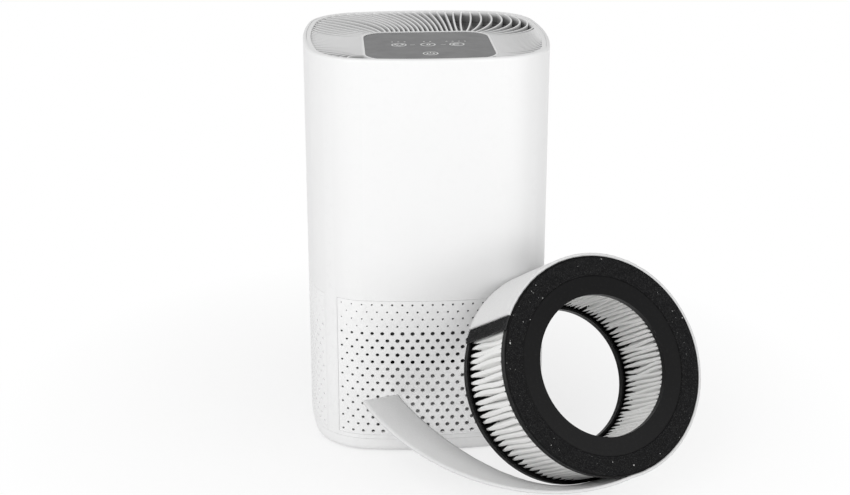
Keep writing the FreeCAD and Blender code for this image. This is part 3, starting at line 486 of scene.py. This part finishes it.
def finish(name):
    """The material of that name, made the first time it is asked for."""
    if name not in FINISHES:
        colours = colour_settings()
        makers = {
            "white_plastic": lambda: moulded_plastic("white_plastic", colours.white_plastic, 0.42),
            "vane_plastic_painted_shade": lambda: vane_plastic_painted_shade(colours.white_plastic),
            "black_plastic": lambda: moulded_plastic("black_plastic", colours.black_plastic, 0.40, 0.00004,
                                                     0.08, 0.3, shine=0.14),
            "grey_plastic": lambda: moulded_plastic("grey_plastic", colours.grey_plastic, 0.45, 0.00004,
                                                    0.12),
            "dark_gloss_panel": lambda: control_glass(colours.control_glass),
            "gloss_black": gloss_black,
            "steel": steel,
            "magnet": cast_dark,
            "rubber": lambda: moulded_plastic("rubber", (0.03, 0.03, 0.03), 0.8, 0.00006, 0.2, 0.1),
            "cable": lambda: moulded_plastic("cable_jacket", (0.02, 0.02, 0.02), 0.5, 0.00003, 0.1, 0.1),
            "led": lambda: moulded_plastic("led_lens", (0.75, 0.75, 0.68), 0.25, 0.00001, 0.0, 0.0),
            "circuit_board": circuit_board,
            "filter_paper": lambda: pleated_paper(colours.paper),
            "white_fleece": lambda: fibrous("white_fleece", colours.fleece, 700.0, 0.2, 0.0005, 0.06),
            "black_foam": lambda: open_cell_foam(colours.foam),
            "hook_strip": lambda: fibrous("hook_strip", (0.035, 0.035, 0.036), 1100.0, 0.6, 0.0009,
                                          0.95, roughness=0.8),
            "printed_marks": printed_marks,
        }
        FINISHES[name] = makers[name]()
    return FINISHES[name]


def dress(node, name):
    """Gives a construction node its finish, with smooth curves and crisp corners."""
    piece = NODES[node]
    piece.data.materials.clear()
    piece.data.materials.append(finish(name))
    crisp = piece.modifiers.new("crisp_corners", "EDGE_SPLIT")
    crisp.split_angle = math.radians(32.0)


# ------------------------------------------------------------------ mesh helpers
def new_piece(name, points, faces, material, smooth=True):
    """A mesh object from its points and faces, with its finish."""
    mesh = bpy.data.meshes.new(name)
    mesh.from_pydata([tuple(point) for point in points], [], faces)
    mesh.validate()
    mesh.polygons.foreach_set("use_smooth", [smooth] * len(mesh.polygons))
    mesh.materials.append(finish(material))
    piece = bpy.data.objects.new(name, mesh)
    bpy.context.scene.collection.objects.link(piece)
    return piece


def grid_faces(rows, columns, wrap_rows=False, wrap_columns=False):
    """Quads between the points of a grid, closed round either way if asked."""
    faces = []
    for row in range(rows if wrap_rows else rows - 1):
        for column in range(columns if wrap_columns else columns - 1):
            next_row = (row + 1) % rows
            next_column = (column + 1) % columns
            faces.append((row * columns + column, next_row * columns + column,
                          next_row * columns + next_column, row * columns + next_column))
    return faces


def apply_modifiers(piece):
    """Makes what the modifiers show the piece's own mesh."""
    graph = bpy.context.evaluated_depsgraph_get()
    mesh = bpy.data.meshes.new_from_object(piece.evaluated_get(graph))
    piece.modifiers.clear()
    piece.data = mesh


def fitted_place():
    return Matrix.Translation((0.0, 0.0, CARTRIDGE_FLOOR))


def leaning_frame():
    """Axis, left side, foot and back-face centre of the leaning cartridge."""
    back = sum((Vector(corner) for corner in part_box("loose_filter_cap_back")), Vector()) / 2
    front = sum((Vector(corner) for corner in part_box("loose_filter_cap_front")), Vector()) / 2
    axis = (front - back).normalized()
    left = axis.cross(Vector((0, 0, 1))).normalized()
    foot = axis.cross(left)
    base = (back + front) / 2 - axis * (CARTRIDGE_LENGTH / 2)
    return axis, left, foot, base


def leaning_place():
    axis, left, foot, base = leaning_frame()
    turn = Matrix((left, foot, axis)).transposed().to_4x4()
    return Matrix.Translation(base) @ turn


CARTRIDGES = {
    "filter": {"body": "filter", "place": fitted_place, "low": "lower", "high": "upper"},
    "loose_filter": {"body": "loose_filter", "place": leaning_place, "low": "back", "high": "front"},
}


def settle(piece, cartridge, slot, *nodes):
    """Puts a piece in its cartridge's place, on its body, for its nodes."""
    piece.data.transform(CARTRIDGES[cartridge]["place"]())
    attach(piece, CARTRIDGES[cartridge]["body"])
    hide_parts(*nodes)


# ------------------------------------------------------------------ soft parts of a cartridge
def pleat_ring(cartridge):
    """Paper folded into rounded ridges outside and inside, uneven from fold to fold."""
    given = filter_settings()
    count, bore, depth = given.pleat_count, given.pleat_bore, given.pleat_fold
    steps = 10
    levels = 9
    cap_depth = 0.0036
    unevenness = 0.0006
    valley_sharpness = 6
    seeds = np.random.default_rng(12)
    wander = seeds.normal(0.0, unevenness, (count, 4))
    low = cap_depth
    high = CARTRIDGE_LENGTH - cap_depth
    rings = []
    folds = []
    for outside in (True, False):
        for level in range(levels):
            share = level / (levels - 1)
            height = low + (high - low) * share
            for step in range(count * steps):
                pleat, part = divmod(step, steps)
                phase = 2.0 * part / steps - 1.0
                sway = (wander[pleat][0] * math.sin(math.pi * share)
                        + wander[pleat][1] * math.sin(2 * math.pi * share))
                valley = abs(phase) ** valley_sharpness
                if outside:
                    radius = PLEAT_RADIUS - depth * valley - abs(wander[pleat][2]) * 0.4
                else:
                    radius = bore + depth * valley + abs(wander[pleat][3]) * 0.4
                angle = 2 * math.pi * (step + steps / 2) / (count * steps) + sway / radius
                rings.append((radius * math.cos(angle), radius * math.sin(angle), height))
                folds.append(abs(phase))
    around = count * steps
    faces = [face[::-1] for face in grid_faces(levels, around, wrap_columns=True)]
    shift = levels * around
    faces += [tuple(index + shift for index in face)
              for face in grid_faces(levels, around, wrap_columns=True)]
    for level in (0, levels - 1):
        for step in range(around):
            following = (step + 1) % around
            quad = (level * around + step, level * around + following,
                    shift + level * around + following, shift + level * around + step)
            faces.append(quad if level else quad[::-1])
    piece = new_piece(cartridge + "_paper", rings, faces, "filter_paper")
    for name, values in (("fold", folds), ("rise", [point[2] for point in rings])):
        marks = piece.data.attributes.new(name, "FLOAT", "POINT")
        marks.data.foreach_set("value", values)
    settle(piece, cartridge, "filter_paper", cartridge + "_pleats")


def foam_ring(cartridge, end):
    """Foam ring with crumbly faces and soft edges."""
    given = filter_settings()
    side = CARTRIDGES[cartridge][end]
    inner, outer = given.foam_bore, FOAM_RADIUS
    thick = FOAM[1][2] - FOAM[0][2]
    proud = CARTRIDGE_FLOOR - FOAM[0][2]
    face = -proud if end == "low" else CARTRIDGE_LENGTH + proud
    inward = 1.0 if end == "low" else -1.0
    soft = 0.0009
    crumb = 0.00032
    profile = [(inner, thick), (inner, soft), (inner + soft * 0.3, soft * 0.3), (inner + soft, 0.0)]
    profile += [(inner + (outer - inner) * share, 0.0) for share in np.linspace(0.12, 0.88, 12)]
    profile += [(outer - soft, 0.0), (outer - soft * 0.3, soft * 0.3), (outer, soft), (outer, thick)]
    around = 640
    seeds = np.random.default_rng(7 if end == "low" else 8)
    points = []
    for step in range(around):
        angle = 2 * math.pi * step / around
        for radius, depth in profile:
            crumble = seeds.uniform(0.0, crumb) if 0 <= depth < thick else 0.0
            reach = radius + (crumble if radius == inner else -crumble if radius == outer else 0.0)
            height = face + inward * (depth + crumble)
            points.append((reach * math.cos(angle), reach * math.sin(angle), height))
    faces = grid_faces(around, len(profile), wrap_rows=True, wrap_columns=True)
    if end == "high":
        faces = [quad[::-1] for quad in faces]
    piece = new_piece(f"{cartridge}_foam_ring_{side}", points, faces, "black_foam")
    settle(piece, cartridge, "black_foam", f"{cartridge}_foam_{side}")


def fleece_radius():
    """Radius of the wrapped fleece at the middle of its thickness, just inside its construction sleeve."""
    clearance = 0.0002
    return FLEECE_RADIUS - filter_settings().fleece_thickness / 2 - clearance


def fleece_sheet(name, edges, acrosses, outwards, closed):
    """A strip of fleece from its back edge, width direction and outer side at each station."""
    rows = 19
    raggedness, unevenness = 0.00016, 0.00007
    seeds = np.random.default_rng(31)
    points = []
    for edge, across, outward in zip(edges, acrosses, outwards):
        for row in range(rows):
            share = row / (rows - 1)
            rim = 1.0 if row in (0, rows - 1) else 0.25
            ragged = seeds.normal(0.0, raggedness) * rim
            lift = seeds.normal(0.0, unevenness)
            points.append(edge + across * (STRIP_WIDTH * share + ragged) + outward * lift)
    faces = grid_faces(len(edges), rows, wrap_rows=closed)
    piece = new_piece(name, points, faces, "white_fleece")
    solid = piece.modifiers.new("thickness", "SOLIDIFY")
    solid.thickness = filter_settings().fleece_thickness
    solid.offset = 0.0
    apply_modifiers(piece)
    return piece


def fitted_fleece():
    """Closed fleece sleeve round the fitted cartridge."""
    radius = fleece_radius()
    stations = 260
    edges, acrosses, outwards = [], [], []
    for station in range(stations):
        angle = 2 * math.pi * station / stations
        outward = Vector((math.cos(angle), math.sin(angle), 0))
        edges.append(outward * radius + Vector((0, 0, STRIP_RIM)))
        acrosses.append(Vector((0, 0, 1)))
        outwards.append(outward)
    piece = fleece_sheet("filter_fleece_wrap", edges, acrosses, outwards, True)
    settle(piece, "filter", "white_fleece", "filter_fleece")


def bezier_point(control, t):
    """Point at t on the curve of four control points."""
    weights = ((1 - t) ** 3, 3 * t * (1 - t) ** 2, 3 * t * t * (1 - t), t ** 3)
    return sum((point * weight for point, weight in zip(control, weights)), Vector())


def bezier_run(control, t):
    """Direction of travel at t on that curve."""
    weights = (-3 * (1 - t) ** 2, 3 * (1 - t) ** 2 - 6 * t * (1 - t), 6 * t * (1 - t) - 3 * t * t, 3 * t * t)
    return sum((point * weight for point, weight in zip(control, weights)), Vector())


def loose_fleece():
    """Fleece half unwrapped: round the cartridge to its foot, then a tail that lies forward and twists."""
    given = filter_settings()
    axis, left, foot, base = leaning_frame()
    radius = fleece_radius()
    edges, acrosses, outwards = [], [], []
    wrap_stations, tail_stations = 150, 90
    for station in range(wrap_stations):
        angle = given.wrap_end + (math.pi / 2 - given.wrap_end) * station / wrap_stations
        outward = left * math.cos(angle) + foot * math.sin(angle)
        edges.append(base + outward * radius + axis * STRIP_RIM)
        acrosses.append(axis)
        outwards.append(outward)
    start = base + foot * radius + axis * STRIP_RIM
    tip = Vector(given.tail_tip)
    control = [start, start + left * given.tail_lead, tip - Vector(given.tail_tip_run), tip]
    for station in range(tail_stations + 1):
        t = station / tail_stations
        across = (axis * (1 - t) ** 2 + Vector(given.tail_middle_across) * 2 * t * (1 - t)
                  + Vector(given.tail_tip_across) * t * t).normalized()
        edges.append(bezier_point(control, t))
        acrosses.append(across)
        outwards.append(across.cross(bezier_run(control, t)).normalized())
    piece = fleece_sheet("loose_filter_fleece_wrap", edges, acrosses, outwards, False)
    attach(piece, "loose_filter")
    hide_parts("loose_filter_fleece")


def hook_strip():
    """Hook tape at the start of the fleece: a woven band covered with short bristles."""
    given = filter_settings()
    gap, thick, weave_height = 0.0004, 0.0009, 0.00008
    bristles, bristle_radius, bristle_lean = 5200, 0.00013, 0.0006
    shortest, longest = 0.0004, 0.0016
    inner = CARTRIDGE_RADIUS + gap
    start = given.wrap_end + math.radians(0.5)
    end = start + given.hook_width / inner
    columns, rows = 26, 120
    points = []
    for outside in (False, True):
        for column in range(columns):
            angle = start + (end - start) * column / (columns - 1)
            for row in range(rows):
                weave = weave_height * ((row + column) % 2) if outside else 0.0
                radius = inner + (thick + weave if outside else 0.0)
                points.append((radius * math.cos(angle), radius * math.sin(angle),
                               STRIP_RIM + STRIP_WIDTH * row / (rows - 1)))
    faces = grid_faces(columns, rows)
    shift = columns * rows
    faces = [quad[::-1] for quad in faces] + [tuple(index + shift for index in quad) for quad in faces]
    border = list(range(rows)) + [column * rows + rows - 1 for column in range(1, columns)]
    border += [(columns - 1) * rows + row for row in range(rows - 2, -1, -1)]
    border += [column * rows for column in range(columns - 2, 0, -1)]
    for here, there in zip(border, border[1:] + border[:1]):
        faces.append((here, there, there + shift, here + shift))
    seeds = np.random.default_rng(5)
    for _ in range(bristles):
        angle = seeds.uniform(start, end)
        height = STRIP_RIM + seeds.uniform(0.0, STRIP_WIDTH)
        lean = seeds.normal(0.0, bristle_lean, 2)
        foot = len(points)
        for corner in range(3):
            turn = corner * 2 * math.pi / 3
            swing = angle + bristle_radius * math.cos(turn) / inner
            points.append(((inner + thick) * math.cos(swing), (inner + thick) * math.sin(swing),
                           height + bristle_radius * math.sin(turn)))
        reach = inner + thick + seeds.uniform(shortest, longest)
        swing = angle + lean[0] / inner
        points.append((reach * math.cos(swing), reach * math.sin(swing), height + lean[1]))
        faces += [(foot, foot + 1, foot + 3), (foot + 1, foot + 2, foot + 3), (foot + 2, foot, foot + 3)]
    piece = new_piece("loose_filter_hook_tape", points, faces, "hook_strip", smooth=False)
    settle(piece, "loose_filter", "hook_strip", "loose_filter_hook_strip")


# ------------------------------------------------------------------ marks on the control panel
def flat_arc(points, faces, middle, radius, thick, start, end, height):
    """A curved printed line."""
    steps = max(6, int(abs(end - start) * 9))
    first = len(points)
    for step in range(steps + 1):
        angle = start + (end - start) * step / steps
        for reach in (radius - thick / 2, radius + thick / 2):
            points.append((middle[0] + reach * math.cos(angle), middle[1] + reach * math.sin(angle), height))
    for step in range(steps):
        corner = first + 2 * step
        faces.append((corner, corner + 1, corner + 3, corner + 2))


def flat_bar(points, faces, start, end, thick, height):
    """A straight printed line."""
    along = (Vector(end) - Vector(start)).normalized()
    side = Vector((-along.y, along.x)) * thick / 2
    first = len(points)
    for spot in (Vector(start) - side, Vector(start) + side, Vector(end) + side, Vector(end) - side):
        points.append((spot.x, spot.y, height))
    faces.append((first, first + 3, first + 2, first + 1))


def key_symbols(points, faces, height):
    """Four generic key symbols in rings, three of them in a row, with small dots and dashes beside them."""
    line = 0.0011
    ring, pitch, row_drop = 0.0062, 0.0255, 0.036
    dot_pitch, dot_rise, dot_radius = 0.0055, 0.0125, 0.00045
    dash_half, dash_drop = 0.0022, 0.0005
    row = LENS[0][1] + 0.060
    fan, leaf, moon = (-pitch, row), (0.0, row), (pitch, row)
    power = (0.0, row - row_drop)
    for middle in (fan, leaf, moon, power):
        flat_arc(points, faces, middle, ring, line, 0, 2 * math.pi, height)
    for turn in (0, 1, 2):
        angle = turn * 2 * math.pi / 3 + 0.5
        hub = (fan[0] + 0.0019 * math.cos(angle), fan[1] + 0.0019 * math.sin(angle))
        flat_arc(points, faces, hub, 0.0018, line * 1.4, angle - 1.9, angle + 1.2, height)
    flat_arc(points, faces, (leaf[0] - 0.0016, leaf[1]), 0.0034, line, -0.9, 0.9, height)
    flat_arc(points, faces, (leaf[0] + 0.0026, leaf[1]), 0.0034, line, math.pi - 0.9, math.pi + 0.9, height)
    flat_arc(points, faces, moon, 0.0032, line * 1.6, 0.9, 5.2, height)
    flat_arc(points, faces, power, 0.0030, line, math.radians(125), math.radians(415), height)
    flat_bar(points, faces, (power[0], power[1] + 0.0010), (power[0], power[1] + 0.0042), line, height)
    for middle, count in ((fan, 3), (leaf, 2), (moon, 4)):
        for dot in range(count):
            spot = (middle[0] + (dot - (count - 1) / 2) * dot_pitch, middle[1] + dot_rise)
            flat_arc(points, faces, spot, dot_radius, 2 * dot_radius, 0, 2 * math.pi, height)
    for middle in (-0.0135, 0.0135):
        flat_bar(points, faces, (middle - dash_half, row - dash_drop), (middle + dash_half, row - dash_drop),
                 line * 0.8, height)


# ------------------------------------------------------------------ operators
class PURIFIER_OT_mouldings(Operator):
    """Finish the white shell, intake panels, cover, frame and grille"""

    bl_idname = "purifier.mouldings"
    bl_label = "White mouldings"

    def execute(self, context):
        for node in ("outer_shell", "bottom_frame", "base_cover", "intake_panel_front",
                     "intake_panel_right", "intake_panel_back", "intake_panel_left"):
            dress(node, "white_plastic")
        dress("outlet_grille", "vane_plastic_painted_shade")
        dress("rubber_feet", "rubber")
        return {"FINISHED"}


class PURIFIER_OT_control_panel(Operator):
    """Finish the touch panel and print its key symbols"""

    bl_idname = "purifier.control_panel"
    bl_label = "Control panel"

    def execute(self, context):
        dress("control_lens", "dark_gloss_panel")
        points, faces = [], []
        ink_height = 0.00005
        key_symbols(points, faces, LENS[1][2] + ink_height)
        piece = new_piece("control_symbols", points, faces, "printed_marks", smooth=False)
        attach(piece, "purifier")
        return {"FINISHED"}


class PURIFIER_OT_fan(Operator):
    """Finish the guard, fan, duct, motor and column"""

    bl_idname = "purifier.fan"
    bl_label = "Fan and motor"

    def execute(self, context):
        for node in ("inlet_guard", "impeller", "fan_housing", "outlet_stator"):
            dress(node, "grey_plastic")
        dress("plenum_plate", "black_plastic")
        for node in ("motor_cup", "motor_cup_cap"):
            dress(node, "gloss_black")
        for node in ("motor_rotor", "motor_magnets"):
            dress(node, "magnet")
        for node in ("motor_can", "motor_end_bell", "motor_bearings", "motor_shaft", "impeller_nut"):
            dress(node, "steel")
        dress("fan_base_plate", "black_plastic")
        return {"FINISHED"}


class PURIFIER_OT_screws(Operator):
    """Finish every group of screws"""

    bl_idname = "purifier.screws"
    bl_label = "Screws"

    def execute(self, context):
        for node in NODES:
            if node.endswith("screws"):
                dress(node, "steel")
        return {"FINISHED"}


class PURIFIER_OT_electronics(Operator):
    """Finish the boards, tray, inlet and harnesses"""

    bl_idname = "purifier.electronics"
    bl_label = "Electronics"

    def execute(self, context):
        for node in ("main_board", "touch_board"):
            dress(node, "circuit_board")
        for node in ("board_components", "dc_socket"):
            dress(node, "black_plastic")
        dress("electronics_tray", "grey_plastic")
        dress("indicator_leds", "led")
        for node in ("power_harness", "motor_harness"):
            dress(node, "cable")
        return {"FINISHED"}


class PURIFIER_OT_cartridges(Operator):
    """Finish the end caps and model the paper and foam of both cartridges"""

    bl_idname = "purifier.cartridges"
    bl_label = "Filter cartridges"

    def execute(self, context):
        for cartridge, facts in CARTRIDGES.items():
            for end in ("low", "high"):
                dress(f"{cartridge}_cap_{facts[end]}", "black_plastic")
                foam_ring(cartridge, end)
            pleat_ring(cartridge)
        return {"FINISHED"}


class PURIFIER_OT_fleece(Operator):
    """Model the fitted fleece, the unwrapped fleece and its hook tape"""

    bl_idname = "purifier.fleece"
    bl_label = "Fleece"

    def execute(self, context):
        fitted_fleece()
        loose_fleece()
        hook_strip()
        return {"FINISHED"}


class PURIFIER_OT_stage(Operator):
    """Set up the pale floor, soft lights, surroundings and camera"""

    bl_idname = "purifier.stage"
    bl_label = "Stage"

    def execute(self, context):
        given = stage_settings()
        pale_floor()
        surroundings(given.ambient)
        soft_light("key_light", place=(-0.9, -1.3, 1.35), target=(0.0, 0.0, 0.2), size=1.3,
                   power=given.key)
        soft_light("fill_light", place=(1.1, -1.2, 0.35), target=(0.05, -0.05, 0.18), size=0.7,
                   power=given.fill)
        studio_camera(given)
        context.scene.view_settings.view_transform = "Standard"
        return {"FINISHED"}


# ------------------------------------------------------------------ stage
def seen_directly(tree):
    """1 where the camera, a mirror or glass looks straight at the surface."""
    path = tree.add("ShaderNodeLightPath").outputs
    both = tree.math("MAXIMUM", path["Is Camera Ray"], path["Is Glossy Ray"])
    return tree.math("MAXIMUM", both, path["Is Transmission Ray"])


def pale_floor():
    """Floor whose shadow is paled near the object, plain white further out and clear from below."""
    half_side = 12.0
    paling_starts, plain_white, least_paling = 0.12, 0.42, 0.66
    corners = [(-half_side, -half_side, 0), (half_side, -half_side, 0),
               (half_side, half_side, 0), (-half_side, half_side, 0)]
    mesh = bpy.data.meshes.new("floor")
    mesh.from_pydata(corners, [], [(0, 1, 2, 3)])
    made, tree, surface = start_material("floor_white", 0.9, 0.1)
    surface.inputs["Base Color"].default_value = (0.92, 0.92, 0.92, 1.0)
    white = tree.add("ShaderNodeEmission")
    white.inputs["Color"].default_value = (1, 1, 1, 1)
    distance = tree.add("ShaderNodeVectorMath", operation="LENGTH")
    tree.link(tree.place(), distance.inputs[0])
    far = tree.spread(distance.outputs["Value"], paling_starts, plain_white, least_paling, 1.0)
    mix = tree.add("ShaderNodeMixShader")
    tree.link(tree.math("MULTIPLY", far, seen_directly(tree)), mix.inputs[0])
    tree.link(surface.outputs[0], mix.inputs[1])
    tree.link(white.outputs[0], mix.inputs[2])
    open_below = tree.add("ShaderNodeMixShader")
    tree.link(tree.add("ShaderNodeNewGeometry").outputs["Backfacing"], open_below.inputs[0])
    tree.link(mix.outputs[0], open_below.inputs[1])
    tree.link(tree.add("ShaderNodeBsdfTransparent").outputs[0], open_below.inputs[2])
    tree.link(open_below.outputs[0], made.node_tree.nodes["Material Output"].inputs["Surface"])
    mesh.materials.append(made)
    floor = bpy.data.objects.new("floor", mesh)
    bpy.context.scene.collection.objects.link(floor)


def surroundings(strength):
    """Even white light, seen as plain white by the camera and through clear parts."""
    world = bpy.data.worlds.new("studio")
    bpy.context.scene.world = world
    world.use_nodes = True
    tree = Tree(world.node_tree)
    light = world.node_tree.nodes["Background"]
    light.inputs["Color"].default_value = (1, 1, 1, 1)
    light.inputs["Strength"].default_value = strength
    seen = tree.add("ShaderNodeBackground")
    mix = tree.add("ShaderNodeMixShader")
    path = tree.add("ShaderNodeLightPath").outputs
    both = tree.math("MAXIMUM", path["Is Camera Ray"], path["Is Transmission Ray"])
    tree.link(both, mix.inputs[0])
    tree.link(light.outputs[0], mix.inputs[1])
    tree.link(seen.outputs[0], mix.inputs[2])
    seen.inputs["Color"].default_value = (1, 1, 1, 1)
    tree.link(mix.outputs[0], world.node_tree.nodes["World Output"].inputs["Surface"])


def soft_light(name, place, target, size, power):
    """Round softbox aimed at a target."""
    lamp = bpy.data.lights.new(name, "AREA")
    lamp.shape = "DISK"
    lamp.size = size
    lamp.energy = power
    holder = bpy.data.objects.new(name, lamp)
    holder.location = place
    aim = Vector(target) - Vector(place)
    holder.rotation_euler = aim.to_track_quat("-Z", "Y").to_euler()
    bpy.context.scene.collection.objects.link(holder)


def studio_camera(given):
    """Camera round and above the body, aimed at its middle."""
    lens = bpy.data.cameras.new("camera")
    lens.lens = given.lens
    lens.sensor_width = 36.0
    lens.shift_y = -0.024
    holder = bpy.data.objects.new("camera", lens)
    level = math.cos(given.elevation) * given.distance
    holder.location = (level * math.sin(given.azimuth), -level * math.cos(given.azimuth),
                       given.aim_height + math.sin(given.elevation) * given.distance)
    aim = Vector((0, 0, given.aim_height)) - holder.location
    holder.rotation_euler = aim.to_track_quat("-Z", "Y").to_euler()
    bpy.context.scene.collection.objects.link(holder)
    bpy.context.scene.camera = holder


class PURIFIER_PT_panel(Panel):
    """Steps that finish the purifier, in order"""

    bl_idname = "PURIFIER_PT_panel"
    bl_label = "Purifier"
    bl_space_type = "VIEW_3D"
    bl_region_type = "UI"
    bl_category = "Purifier"

    def draw(self, context):
        for step in STEPS:
            self.layout.operator(step.bl_idname)
        for group_name in ("purifier_filter", "purifier_colours", "purifier_stage"):
            owner = getattr(context.scene, group_name)
            for name in owner.__annotations__:
                self.layout.prop(owner, name)


STEPS = (PURIFIER_OT_stage, PURIFIER_OT_mouldings, PURIFIER_OT_control_panel, PURIFIER_OT_fan,
         PURIFIER_OT_screws, PURIFIER_OT_electronics, PURIFIER_OT_cartridges, PURIFIER_OT_fleece)
CLASSES = (FilterSettings, ColourSettings, StageSettings, *STEPS, PURIFIER_PT_panel)


def register():
    for made in CLASSES:
        bpy.utils.register_class(made)
    bpy.types.Scene.purifier_filter = PointerProperty(type=FilterSettings)
    bpy.types.Scene.purifier_colours = PointerProperty(type=ColourSettings)
    bpy.types.Scene.purifier_stage = PointerProperty(type=StageSettings)


def unregister():
    for name in ("purifier_filter", "purifier_colours", "purifier_stage"):
        delattr(bpy.types.Scene, name)
    for made in reversed(CLASSES):
        bpy.utils.unregister_class(made)


def main():
    register()
    for step in STEPS:
        family, name = step.bl_idname.split(".")
        getattr(getattr(bpy.ops, family), name)()
    bpy.context.view_layer.update()


if __name__ == "__main__":
    main()
